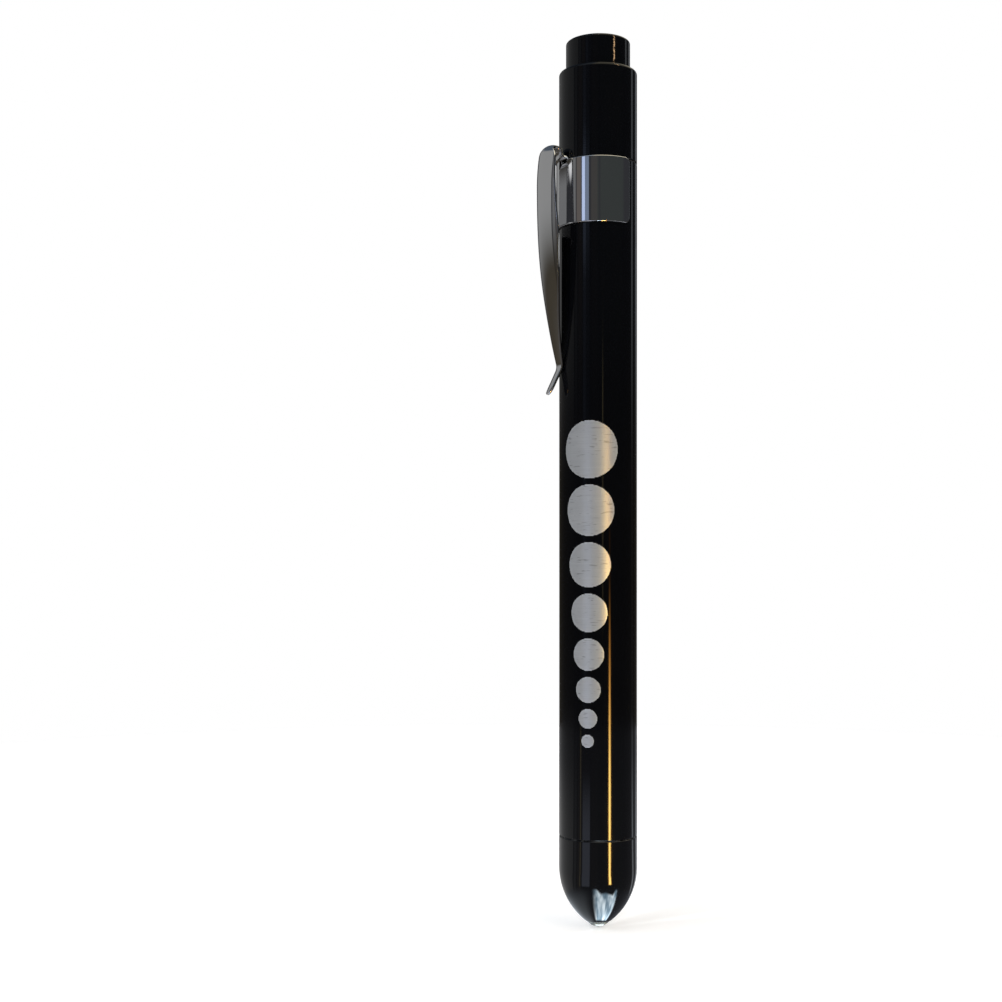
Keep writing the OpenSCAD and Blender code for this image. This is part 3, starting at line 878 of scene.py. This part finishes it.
MARK_LOW = -0.01
MARK_HIGH = 0.012
MARK_STEP = 0.3
HATCH = 0.14
LASER_SPOT = 0.1
RIM_W = 0.2
STROKE_RIM = 0.5
GAUGE_DEG = 235.7
RULE_DEG = 55.7
GAUGE_FIRST_Z = 30.2
GAUGE_LEAN = 0.007
GAUGE_MIDDLE_Z = 53.0
GAUGE_GAP = 1.0
GAUGE_SIZES = range(2, 10)
RULE_ZERO_Z = 75.0
RULE_LEN = 50
RULE_LINE_W = 0.28
RULE_COMMON_U = 4.6
TICK_LONG = 6.1
TICK_MIDDLE = 4.4
TICK_SHORT = 3.7
RULE_LINE_U = RULE_COMMON_U - TICK_LONG
DIGIT_W = 2.5
DIGIT_H = 3.2
DIGIT_STROKE = 0.36
DIGIT_GAP = 0.55
DIGIT_POINTS = 40
# the 5: its bar and stem as shares of half the digit's width, its turn, and its bowl
FIVE_BAR = 0.85
FIVE_STEM = 0.78
FIVE_TURN = 0.2
FIVE_BOWL = 1.0
FIVE_BOWL_DEG = (125, -150)
# the 5's points from the stem's line: its upper end from the top, and its knee from the bowl's middle
FIVE_STEM_TOP = (-0.02, -0.35)
FIVE_KNEE = ((-0.12, 0.42), (-0.02, 0.36), (0.14, 0.55))


class Marks:
    """Thin closed solids wrapped on the barrel, gathered into one mesh."""

    def __init__(self, centre_deg):
        self.centre = math.radians(centre_deg)
        self.points = []
        self.faces = []
        self.rim = []

    def add(self, u, z, rise, rim):
        """A point at u round the barrel and height z. Gives its number."""
        angle = self.centre + u / BODY_R
        r = BODY_R + rise
        self.points.append((r * math.cos(angle), r * math.sin(angle), z))
        self.rim.append(rim)
        return len(self.points) - 1

    def ring(self, outline, rise, rim):
        """Numbers of a ring of points."""
        return [self.add(u, z, rise, rim) for u, z in outline]

    def strip(self, first, second, closed=True):
        """Faces between two rows of point numbers."""
        self.faces += quads(first, second, closed)

    def disc(self, diameter, side, z):
        """A filled disc as a laser draws it, with stepped edges."""
        outline = pixel_disc(diameter)
        bearings = [math.atan2(v, u) for u, v in outline]
        inner = diameter / 2 - RIM_W
        count = max(2, math.ceil(inner / MARK_STEP))
        sides = []
        for rise in (MARK_HIGH, MARK_LOW):
            edge = self.ring([(side + u, z + v) for u, v in outline], rise, 1.0)
            sides.append(edge)
            for i in range(count):
                size = inner * (1 - i / count)
                circle = [(side + size * math.cos(a), z + size * math.sin(a)) for a in bearings]
                row = self.ring(circle, rise, 0.0)
                self.strip(edge, row)
                edge = row
            middle = self.add(side, z, rise, 0.0)
            self.strip(edge, [middle] * len(edge))
        self.strip(*sides)

    def bar(self, left, right, closed):
        """A stroke between two lines of places on the barrel."""
        sides = []
        for rise in (MARK_HIGH, MARK_LOW):
            sides.append((self.ring(left, rise, STROKE_RIM), self.ring(right, rise, STROKE_RIM)))
        (top_left, top_right), (low_left, low_right) = sides
        self.strip(top_left, top_right, closed)
        self.strip(low_right, low_left, closed)
        self.strip(low_left, top_left, closed)
        self.strip(top_right, low_right, closed)
        if not closed:
            for k in (0, -1):
                self.faces.append((top_left[k], top_right[k], low_right[k], low_left[k]))

    def stroke(self, line, width, closed=False):
        """A stroke of one width along a line of places."""
        left, right = [], []
        count = len(line)
        for i, at in enumerate(line):
            after = line[(i + 1) % count] if closed else line[min(i + 1, count - 1)]
            before = line[i - 1] if closed else line[max(i - 1, 0)]
            ahead = Vector((after[0] - before[0], after[1] - before[1])).normalized()
            side = Vector((-ahead.y, ahead.x)) * width / 2
            left.append((at[0] + side.x, at[1] + side.y))
            right.append((at[0] - side.x, at[1] - side.y))
        self.bar(left, right, closed)

    def finish(self, name, material):
        """The gathered solids as one piece that rides on the barrel."""
        piece = make_piece(name, self.points, self.faces, material)
        set_attribute(piece, "rim", self.rim)
        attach(piece, "barrel")


def pixel_disc(diameter):
    """Outline of a disc made of hatch rows, each ended at a whole laser spot."""
    half = diameter / 2
    count = round(diameter / HATCH)
    step = diameter / count
    right = []
    for i in range(count):
        low = -half + i * step
        reach = math.sqrt(half ** 2 - (low + step / 2) ** 2)
        reach = max(LASER_SPOT, LASER_SPOT * round(reach / LASER_SPOT))
        for v in (low, low + step):
            place = (round(reach, 4), round(v, 4))
            if place not in right[-1:]:
                right.append(place)
    outline = right + [(-u, v) for u, v in reversed(right)]
    dense = []
    for a, b in zip(outline, outline[1:] + outline[:1]):
        dense += straight(a, b)[:-1]
    return dense


def straight(a, b):
    """Places along a straight line, close enough to follow the barrel."""
    count = max(1, math.ceil(math.hypot(b[0] - a[0], b[1] - a[1]) / MARK_STEP))
    return [(a[0] + (b[0] - a[0]) * i / count, a[1] + (b[1] - a[1]) * i / count) for i in range(count + 1)]


def make_gauge(material):
    """Pupil gauge: eight discs from 2 to 9 mm."""
    marks = Marks(GAUGE_DEG)
    z = GAUGE_FIRST_Z
    for size in GAUGE_SIZES:
        marks.disc(size, (z - GAUGE_MIDDLE_Z) * GAUGE_LEAN, z)
        z += size / 2 + GAUGE_GAP + (size + 1) / 2
    marks.finish("pupil_gauge", material)


def digit_place(gx, gy, z):
    """Place of a digit's point: its right is toward the tail, its foot by the rule's line."""
    return RULE_LINE_U - DIGIT_GAP - gy, z + gx


def digit_zero():
    """Oval of the 0, from its centre bottom."""
    wide = (DIGIT_W - DIGIT_STROKE) / 2
    tall = (DIGIT_H - DIGIT_STROKE) / 2
    circle = arc_points((0, 0), 1, 0, 360, DIGIT_POINTS)[:-1]
    return [(wide * x, DIGIT_H / 2 + tall * y) for x, y in circle]


def digit_five():
    """Line of the 5: top bar, stem and bowl, with its corners turned."""
    wide = (DIGIT_W - DIGIT_STROKE) / 2
    top = DIGIT_H - DIGIT_STROKE / 2
    low = DIGIT_STROKE / 2 + FIVE_BOWL
    stem = -FIVE_STEM * wide
    turn = arc_points((stem + FIVE_TURN, top - FIVE_TURN), FIVE_TURN, 90, 180, 2)
    knee = [(stem + du, low + dv) for du, dv in FIVE_KNEE]
    line = straight((FIVE_BAR * wide, top), turn[0]) + turn[1:]
    line += straight((stem + FIVE_STEM_TOP[0], top + FIVE_STEM_TOP[1]), knee[0]) + knee[1:]
    bowl = arc_points((0, 0), 1, *FIVE_BOWL_DEG, DIGIT_POINTS // 2)
    return line + [(wide * x, low + FIVE_BOWL * y) for x, y in bowl]


def make_rule(material):
    """Rule of 5 cm: a line, ticks at each millimetre and a digit at each end."""
    marks = Marks(RULE_DEG)
    half = RULE_LINE_W / 2
    low, high = RULE_ZERO_Z - RULE_LEN, RULE_ZERO_Z
    marks.stroke(straight((RULE_LINE_U, low - half), (RULE_LINE_U, high + half)), RULE_LINE_W)
    for i in range(RULE_LEN + 1):
        reach = TICK_SHORT
        if i % 5 == 0:
            reach = TICK_MIDDLE
        start = RULE_COMMON_U - reach
        if i % 10 == 0:
            start = RULE_LINE_U + half
        z = low + i
        marks.stroke(straight((start, z), (RULE_COMMON_U, z)), RULE_LINE_W)
    zero = [digit_place(gx, gy, high) for gx, gy in digit_zero()]
    marks.stroke(zero, DIGIT_STROKE, closed=True)
    five = [digit_place(gx, gy, low) for gx, gy in digit_five()]
    marks.stroke(five, DIGIT_STROKE)
    marks.finish("rule_marks", material)


# solids that stay as they are


def dress(material, *names):
    """Gives CAD nodes a material."""
    for name in names:
        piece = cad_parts[name]
        if not piece.material_slots:
            piece.data.materials.append(material)
        for slot in piece.material_slots:
            slot.material = material


# light, floor and camera

CAMERA_DEG = 249.5
CAMERA_FAR = 240
CAMERA_Z = 58
LENS_PX = 1503
FRAME_PX = 1002
PEN_PX = 598
SENSOR_MM = 36
SHIFT_Y = 0.0617
TO_CAMERA = Vector((math.cos(math.radians(CAMERA_DEG)), math.sin(math.radians(CAMERA_DEG)), 0))
RIGHT = Vector((-TO_CAMERA.y, TO_CAMERA.x, 0))
FLOOR_R = 300
FLOOR_Z = -0.3
FLOOR_GLOW = 0.45
CARD_SIDES = 96
WHITE = (1.0, 1.0, 1.0)
PLAIN = (0.5, 0.5, 0.5)
# what polished surfaces see of the room, by degrees to the right of the camera as the pen sees it
SHADE = (0.022, 0.022, 0.024)
WALL = (0.285, 0.285, 0.28)
PANEL = (0.15, 0.15, 0.15)
BLIND = (0.11, 0.095, 0.085)
TREES = (0.030, 0.034, 0.031)
TRUNK = (0.044, 0.041, 0.037)
EDGE_NEAR = (0.60, 0.64, 0.68)
EDGE_FAR = (0.42, 0.45, 0.48)
ROOM = (
    (-180, SHADE), (-160, SHADE), (-148, WALL), (-76, WALL), (-75, SHADE), (-73, SHADE), (-72, PANEL),
    (-64, PANEL), (-63, SHADE), (-61, SHADE), (-60, BLIND), (-48, BLIND), (-46, SHADE), (-20, SHADE),
    (-18, TRUNK), (-3, TRUNK), (0, TREES), (4, SHADE), (8, TREES), (70, TREES), (76, SHADE), (115, SHADE),
    (117, EDGE_NEAR), (122.5, EDGE_NEAR), (124, SHADE), (143, SHADE), (145, EDGE_FAR), (154, EDGE_FAR),
    (156, SHADE), (180, SHADE),
)
# light over the room, and its tint low down
LOW_WALL = (0.08, 0.07, 0.05)
HAZE = (0.012, 0.013, 0.015)
DIM_HAZE = (0.032, 0.027, 0.021)
DEEP_HAZE = (0.024, 0.024, 0.026)
DARK_CEILING = (0.08, 0.10, 0.13)
COOL_CEILING = (0.42, 0.49, 0.57)
WARM_CEILING = (1.10, 1.00, 0.76)
GROUND = (0.2, 0.19, 0.18)
# heights of a ray, as its slope's sine, over which each of these comes in
WALL_RISE = (0.04, 0.22)
DIM_FALL = (0.2, 0.0)
DEEP_FALL = (0.0, -0.15)
CEILING_RISE = (0.42, 0.60)
GROUND_FALL = (-0.30, -0.60)
# bearings over which the ceiling turns cool and then warm
COOL_DEG = (-80, -50)
WARM_DEG = (-26, -8)
# the window: bearing, half spread and soft edge of its core and its pane, and the heights it lies between
CORE = (0.52, 0.63, 0.90)
CORE_AT = (-40.5, 3.5, 1.5)
PANE = (0.15, 0.19, 0.27)
PANE_AT = (-31, 5.5, 1.0)
WINDOW_HEIGHTS = ((0.190, 0.205), (0.262, 0.280))
WINDOW_LEAST = 0.15
# olive line, given in the same way
OLIVE = (1.3, 1.066, 0.494)
OLIVE_AT = (13.8, 0.5, 0.8)
OLIVE_HEIGHTS = ((-0.04, -0.02), (0.11, 0.15))
# how nearly a ray goes straight away from the camera, where the white backdrop starts and is full
BACKDROP = (-0.97, -0.99)
# flag over the floor: its own light, the room's share by distance, a low pane and a low olive line
FLAG_Z = -0.2
LOW_HAZE = (0.12, 0.12, 0.13)
FLAG_FAR = (60, 240)
FLAG_ROOM = (1.7, 0.5)
LOW_PANE = (0.75, 0.82, 1.05)
LOW_PANE_AT = (-34, 10.5, 1.0)
LOW_PANE_FAR = (90, 200)
LOW_OLIVE = (1.1, 0.902, 0.418)
LOW_OLIVE_AT = (-51.4, 0.6, 0.8)
# stations of the warm strips: bearing and half spread in degrees, distance and height
GOLD_STRIP = ((32.5, 4.6, 20, -0.1), (32.0, 3.8, 42, -0.1), (32.0, 3.8, 42, 20), (32.0, 3.0, 42, 40),
              (32.0, 2.0, 42, 64))
EMBER_STRIP = ((43, 2.6, 9, 137.4), (43, 2.6, 9, 140), (43, 2.6, 9, 142.6))
# their colours, and how these and their brightness change by height and from the sides to the core
GOLD = (1.0, 0.72, 0.20)
AMBER = (1.0, 0.42, 0.07)
GOLD_CORE = (0.1, 0.7)
GOLD_Z = (45, 15)
GOLD_LEVEL_Z = (8, 58)
GOLD_LEVEL = (52.0, 0.5)
GOLD_SIDES = (0.0, 0.6, 0.12, 1.0)
EMBER = (1.0, 0.64, 0.34)
EMBER_LEVEL = 26.0
EMBER_SIDES = (0.0, 0.5, 0.1, 1.0)
EMBER_BEADS = (0.46, 0.56, 0.02, 1.0)
# card under the nose, its window with uneven glass, and the longer horns at the window's sides
NOSE_CARD_R = 17.5
NOSE_CARD_RISE = 0.05
NOSE_WINDOW_DEG = (-6, 57)
NOSE_SOFT_DEG = 6
NOSE_WINDOW_FAR = (11.6, 14.6)
NOSE_HORNS = (0.25, 0.48)
NOSE_WINDOW_START = (1.9, 2.6)
NOSE_WINDOW_END = (3.2, 1.0)
PATCH_PER_RADIAN = 3.12
PATCH_PER_MM = 0.12
PATCH_RAGGED = 4.0
GLASS = ((0.36, 0.55, 0.70), (0.80, 0.93, 1.0))
GLASS_PATCHES = (0.36, 0.60)
GLASS_LEVEL = (0.30, 0.66, 10.0, 28.0)
# the card's plain middle, the glow to its left, and under the lamp a pale spot with a glint in it
NOSE_MIDDLE = (0.22, 0.23, 0.26)
NOSE_MIDDLE_R = 11.0
GLOW = (1.0, 1.1, 1.2)
GLOW_R = 6.0
GLOW_RISE_DEG = (-180, -150)
GLOW_FALL_DEG = (-50, -15)
SPOT = (0.50, 0.56, 0.56)
SPOT_FALL = (1.7, 1.3)
GLINT = (6.0, 6.6, 6.7)
GLINT_RISE_DEG = (-40.1, -17.2)
GLINT_FALL_DEG = (57.3, 74.5)
GLINT_REACH = ((0.6, 0.8), (1.4, 1.7))


def radians(*degrees):
    """Angles in radians."""
    return tuple(math.radians(d) for d in degrees)


def strip_mask(angle, centre_deg, half_deg, soft_deg):
    """1 within half_deg of a bearing, falling to 0 over soft_deg."""
    off = calc("ABSOLUTE", calc("SUBTRACT", angle, math.radians(centre_deg)))
    return ease(off, *radians(half_deg, half_deg + soft_deg), 1.0, 0.0)


def between(value, rise, fall):
    """1 between two ranges, each given as where it starts and ends to change."""
    return times(ease(value, *rise), ease(value, *fall, 1.0, 0.0))


def tinted(colour, tint):
    """One colour multiplied by another."""
    return node("ShaderNodeVectorMath", {0: colour, 1: tint}, operation="MULTIPLY").outputs[0]


def scaled(light, amount):
    """A light made brighter or dimmer."""
    return node("ShaderNodeVectorMath", {0: light, "Scale": amount}, operation="SCALE").outputs[0]


def add_light(colour, amount, light):
    """Colour with some of a light added to it."""
    bright = scaled(light, amount)
    return node("ShaderNodeVectorMath", {0: colour, 1: bright}, operation="ADD").outputs[0]


def along(place, way):
    """How far a place lies along a direction."""
    made = node("ShaderNodeVectorMath", {0: place, 1: tuple(way)}, operation="DOT_PRODUCT")
    return made.outputs["Value"]


def bearing(place):
    """Bearing of a place to the right of the camera, and how far it lies toward the camera."""
    front = along(place, TO_CAMERA)
    return calc("ARCTAN2", along(place, RIGHT), front), front


def room_ramp(angle):
    """Colours of the room by bearing, at about the height of the pen's tail."""
    share = node("ShaderNodeMapRange", {"Value": angle, "From Min": -math.pi, "From Max": math.pi})
    made = node("ShaderNodeValToRGB", {"Fac": share.outputs["Result"]})
    elements = made.color_ramp.elements
    elements.remove(elements[-1])
    elements[0].color = (*ROOM[0][1], 1)
    for degrees, colour in ROOM[1:]:
        stop = elements.new((degrees + 180) / 360)
        stop.color = (*colour, 1)
    return made.outputs["Color"]


def room_colours(angle, height):
    """The room as polished surfaces see it, from the bearing and the height of a ray."""
    depth = mix(ease(height, *WALL_RISE), LOW_WALL, WHITE)
    room = tinted(room_ramp(angle), depth)
    haze = mix(ease(height, *DIM_FALL), HAZE, DIM_HAZE)
    room = add_light(room, 1.0, haze)
    room = add_light(room, ease(height, *DEEP_FALL), DEEP_HAZE)
    level = calc("MAXIMUM", between(height, *WINDOW_HEIGHTS), WINDOW_LEAST)
    for colour, place in ((CORE, CORE_AT), (PANE, PANE_AT)):
        room = add_light(room, times(level, strip_mask(angle, *place)), colour)
    line = times(strip_mask(angle, *OLIVE_AT), between(height, *OLIVE_HEIGHTS))
    room = add_light(room, line, OLIVE)
    ceiling = mix(ease(angle, *radians(*COOL_DEG)), DARK_CEILING, COOL_CEILING)
    ceiling = mix(ease(angle, *radians(*WARM_DEG)), ceiling, WARM_CEILING)
    room = mix(ease(height, *CEILING_RISE), room, ceiling)
    return mix(ease(height, *GROUND_FALL), room, GROUND)


def build_world():
    """White to the camera, a dim room with a window to polished surfaces, and a plain level elsewhere."""
    world = bpy.data.worlds.new("room")
    bpy.context.scene.world = world
    world.use_nodes = True
    tree = world.node_tree
    way = node("ShaderNodeTexCoord", {}, tree).outputs["Generated"]
    angle, front = bearing(way)
    height = node("ShaderNodeSeparateXYZ", {0: way}).outputs["Z"]
    room = room_colours(angle, height)
    path = node("ShaderNodeLightPath", {}, tree).outputs
    glossy_white = times(path["Is Glossy Ray"], ease(front, *BACKDROP))
    white = calc("ADD", path["Is Camera Ray"], path["Is Transmission Ray"], clamp=True)
    white = calc("ADD", white, glossy_white, clamp=True)
    seen = mix(path["Is Glossy Ray"], PLAIN, room)
    feed(tree.nodes["Background"], "Color", mix(white, seen, WHITE))


def build_floor():
    """Small pale floor under the lamp, white to the camera except where the pen shades it."""
    material, tree, shader = new_material("pale_floor", Roughness=0.7, Emission_Color=WHITE)
    speckle = noise(tree, (0.3, 0.3, 0.3), 3.0)
    feed(shader, "Base Color", mix(speckle, (0.79, 0.79, 0.79), (0.81, 0.81, 0.81)))
    path = node("ShaderNodeLightPath", {}, tree).outputs
    seen = calc("ADD", path["Is Camera Ray"], path["Is Glossy Ray"], clamp=True)
    seen = calc("ADD", seen, path["Is Transmission Ray"], clamp=True)
    feed(shader, "Emission Strength", times(seen, FLOOR_GLOW))
    points = [(x, y, FLOOR_Z) for x, y in arc_points((0, 0), FLOOR_R, 0, 360, CARD_SIDES)[:-1]]
    floor = make_piece("floor", points, [tuple(range(CARD_SIDES))], material)


def place_round(bearing_deg, far, z):
    """A place by its bearing to the right of the camera, its distance from the axis and its height."""
    turn = math.radians(bearing_deg)
    at = far * (math.cos(turn) * TO_CAMERA + math.sin(turn) * RIGHT)
    return at.x, at.y, z


def add_card(name, points, faces, material):
    """A studio card that polished surfaces mirror and nothing else sees."""
    card = make_piece(name, points, faces, material)
    card.visible_camera = False
    card.visible_diffuse = False
    card.visible_transmission = False
    card.visible_shadow = False
    return card


def add_round_card(name, radius, z, material):
    """A round card about the pen's axis."""
    rim = [place_round(360 * k / CARD_SIDES, radius, z) for k in range(CARD_SIDES)]
    add_card(name, rim, [tuple(range(CARD_SIDES))], material)


def card_material(name, **values):
    """A material that only glows, with its tree and shader."""
    return new_material(name, Base_Color=(0, 0, 0), Roughness=1.0, Specular_IOR_Level=0.0, **values)


def card_bearing(tree):
    """Bearing of a card's point to the right of the camera, and its millimetres from the axis."""
    place = place_mm(tree, (1, 1, 0))
    far = node("ShaderNodeVectorMath", {0: place}, operation="LENGTH").outputs["Value"]
    return bearing(place)[0], far


def build_flag():
    """Dark card over the floor, which keeps its glare out of the black finish."""
    material, tree, shader = card_material("flag", Emission_Strength=1.0)
    angle, far = card_bearing(tree)
    tint = add_light(LOW_HAZE, ease(far, *FLAG_FAR, *FLAG_ROOM), room_ramp(angle))
    pane = times(strip_mask(angle, *LOW_PANE_AT), ease(far, *LOW_PANE_FAR, 1.0, 0.0))
    tint = add_light(tint, pane, LOW_PANE)
    tint = add_light(tint, strip_mask(angle, *LOW_OLIVE_AT), LOW_OLIVE)
    feed(shader, "Emission Color", tint)
    add_round_card("flag", FLOOR_R, FLAG_Z, material)


def add_strip(name, stations, material):
    """A narrow card through its stations, with the attribute core 1 along its middle and 0 at its sides."""
    points, faces, cores = [], [], []
    for turn_deg, half_deg, far, z in stations:
        points += [place_round(turn_deg + half_deg * side, far, z) for side in (-1, 0, 1)]
        cores += [0.0, 1.0, 0.0]
    for i in range(len(stations) - 1):
        for k in (3 * i, 3 * i + 1):
            faces.append((k, k + 1, k + 4, k + 3))
    set_attribute(add_card(name, points, faces, material), "core", cores)


def build_gold_strip():
    """Narrow warm strip that draws the long gold line: flat near the pen, then upright."""
    material, tree, shader = card_material("gold_strip")
    height = node("ShaderNodeSeparateXYZ", {0: place_mm(tree, (1, 1, 1))}).outputs["Z"]
    core = attribute(tree, "core")
    warm = times(ease(core, *GOLD_CORE), ease(height, *GOLD_Z))
    feed(shader, "Emission Color", mix(warm, AMBER, GOLD))
    level = ease(height, *GOLD_LEVEL_Z, *GOLD_LEVEL)
    feed(shader, "Emission Strength", times(level, ease(core, *GOLD_SIDES)))
    add_strip("gold_strip", GOLD_STRIP, material)


def build_ember_strip():
    """Short strip, broken into beads, that draws the glint on the button."""
    material, tree, shader = card_material("ember_strip", Emission_Color=EMBER)
    beads = ease(noise(tree, (0.6, 0.6, 2.2), 2.0, 0.6), *EMBER_BEADS)
    level = times(beads, EMBER_LEVEL)
    feed(shader, "Emission Strength", times(level, ease(attribute(tree, "core"), *EMBER_SIDES)))
    add_strip("ember_strip", EMBER_STRIP, material)


def nose_window(angle, far, patches):
    """Where the nose card's window shows: within its bearings, ragged and longer at its sides."""
    low, high = radians(*NOSE_WINDOW_DEG)
    soft = math.radians(NOSE_SOFT_DEG)
    inside = between(angle, (low - 2 * soft, low + soft), (high - soft, high))
    off = calc("ABSOLUTE", calc("SUBTRACT", angle, (low + high) / 2))
    horns = [share * (high - low) for share in NOSE_HORNS]
    reach = ease(off, *horns, *NOSE_WINDOW_FAR)
    ragged = calc("ADD", far, times(patches, PATCH_RAGGED))
    window = times(inside, ease(calc("SUBTRACT", ragged, reach), *NOSE_WINDOW_END))
    return times(window, ease(far, *NOSE_WINDOW_START))


def build_nose_card():
    """Card low under the nose: a pale window in front, a glow to the left and a glint under the lamp."""
    material, tree, shader = card_material("nose_card", Emission_Strength=1.0)
    angle, far = card_bearing(tree)
    turned = times(angle, PATCH_PER_RADIAN)
    pattern = node("ShaderNodeCombineXYZ", {"X": turned, "Y": times(far, PATCH_PER_MM)})
    patches = noise_at(pattern.outputs[0])
    glass = mix(ease(patches, *GLASS_PATCHES), *GLASS)
    glass = scaled(glass, ease(patches, *GLASS_LEVEL))
    rim_tint = add_light(LOW_HAZE, FLAG_ROOM[0], room_ramp(angle))
    tint = mix(ease(far, NOSE_CARD_R, NOSE_MIDDLE_R), rim_tint, NOSE_MIDDLE)
    glow = between(angle, radians(*GLOW_RISE_DEG), radians(*GLOW_FALL_DEG))
    tint = mix(times(glow, ease(far, NOSE_CARD_R, GLOW_R)), tint, GLOW)
    tint = mix(nose_window(angle, far, patches), tint, glass)
    tint = mix(ease(far, *SPOT_FALL), tint, SPOT)
    glint = between(angle, radians(*GLINT_RISE_DEG), radians(*GLINT_FALL_DEG))
    glint = times(glint, between(far, *GLINT_REACH))
    feed(shader, "Emission Color", mix(glint, tint, GLINT))
    add_round_card("nose_card", NOSE_CARD_R, FLAG_Z + NOSE_CARD_RISE, material)


def add_sun(name, bearing_deg, height_deg, colour, strength, spread_deg):
    """Soft light from a bearing to the right of the camera, which polished surfaces don't mirror."""
    light = bpy.data.lights.new(name, "SUN")
    light.color = colour
    light.energy = strength
    light.angle = math.radians(spread_deg)
    lamp = bpy.data.objects.new(name, light)
    turn, height = radians(bearing_deg, height_deg)
    source = math.cos(height) * (math.cos(turn) * TO_CAMERA + math.sin(turn) * RIGHT)
    source.z = math.sin(height)
    lamp.rotation_euler = source.to_track_quat("Z", "Y").to_euler()
    lamp.visible_glossy = False
    bpy.context.scene.collection.objects.link(lamp)


def build_camera():
    """Camera at the photograph's angle, level, with the frame shifted to the pen."""
    data = bpy.data.cameras.new("camera")
    data.sensor_width = SENSOR_MM
    data.lens = LENS_PX * SENSOR_MM / FRAME_PX
    data.shift_y = SHIFT_Y
    data.clip_start = 0.01
    data.clip_end = 10
    camera = bpy.data.objects.new("camera", data)
    offset = (PEN_PX - FRAME_PX / 2) / LENS_PX
    back = (TO_CAMERA + offset * RIGHT).normalized()
    far = CAMERA_FAR * math.sqrt(1 + offset ** 2)
    at = TO_CAMERA * far
    camera.location = (at.x * MM, at.y * MM, CAMERA_Z * MM)
    camera.rotation_euler = back.to_track_quat("Z", "Y").to_euler()
    bpy.context.scene.collection.objects.link(camera)
    bpy.context.scene.camera = camera


def main():
    """Builds the dressed part, its light and its camera."""
    black = anodised_black()
    chrome = polished_chrome()
    mark = laser_mark()
    tinned = plain_metal("tinned_lead", TINNED, rough=(0.25, 0.4), lines=(2.0, 2.0, 0.3))
    brass = plain_metal("turned_brass", BRASS, rough=(0.16, 0.3), lines=(0.3, 0.3, 5.0))
    nickel = plain_metal("nickel_can", NICKEL, rough=(0.14, 0.28), lines=(0.2, 0.2, 3.0))
    wire = plain_metal("spring_wire", WIRE, rough=(0.2, 0.36), lines=(3.0, 3.0, 3.0))
    white = white_plastic()
    make_head(black)
    make_barrel(black)
    make_cap(black)
    make_button(black)
    make_lamp(clear_epoxy(), tinned, phosphor())
    make_springs(wire)
    make_clip(chrome)
    make_gauge(mark)
    make_rule(mark)
    dress(tinned, "led_leads")
    dress(white, "led_holder", "switch_housing")
    dress(brass, "ground_washer", "positive_contact", "contact_rivet", "plunger")
    dress(nickel, "front_cell_can", "front_cell_base", "rear_cell_can", "rear_cell_base")
    dress(cell_sleeve(), "front_cell_label", "rear_cell_label")
    dress(wire, "plunger_clip")
    build_world()
    build_floor()
    build_flag()
    build_gold_strip()
    build_ember_strip()
    build_nose_card()
    add_sun("cool_key", -55, 30, colour=(0.86, 0.93, 1.0), strength=1.5, spread_deg=60)
    add_sun("warm_fill", 50, 25, colour=(1.0, 0.86, 0.68), strength=1.5, spread_deg=60)
    build_camera()
    bpy.context.scene.view_settings.view_transform = "Standard"


main()
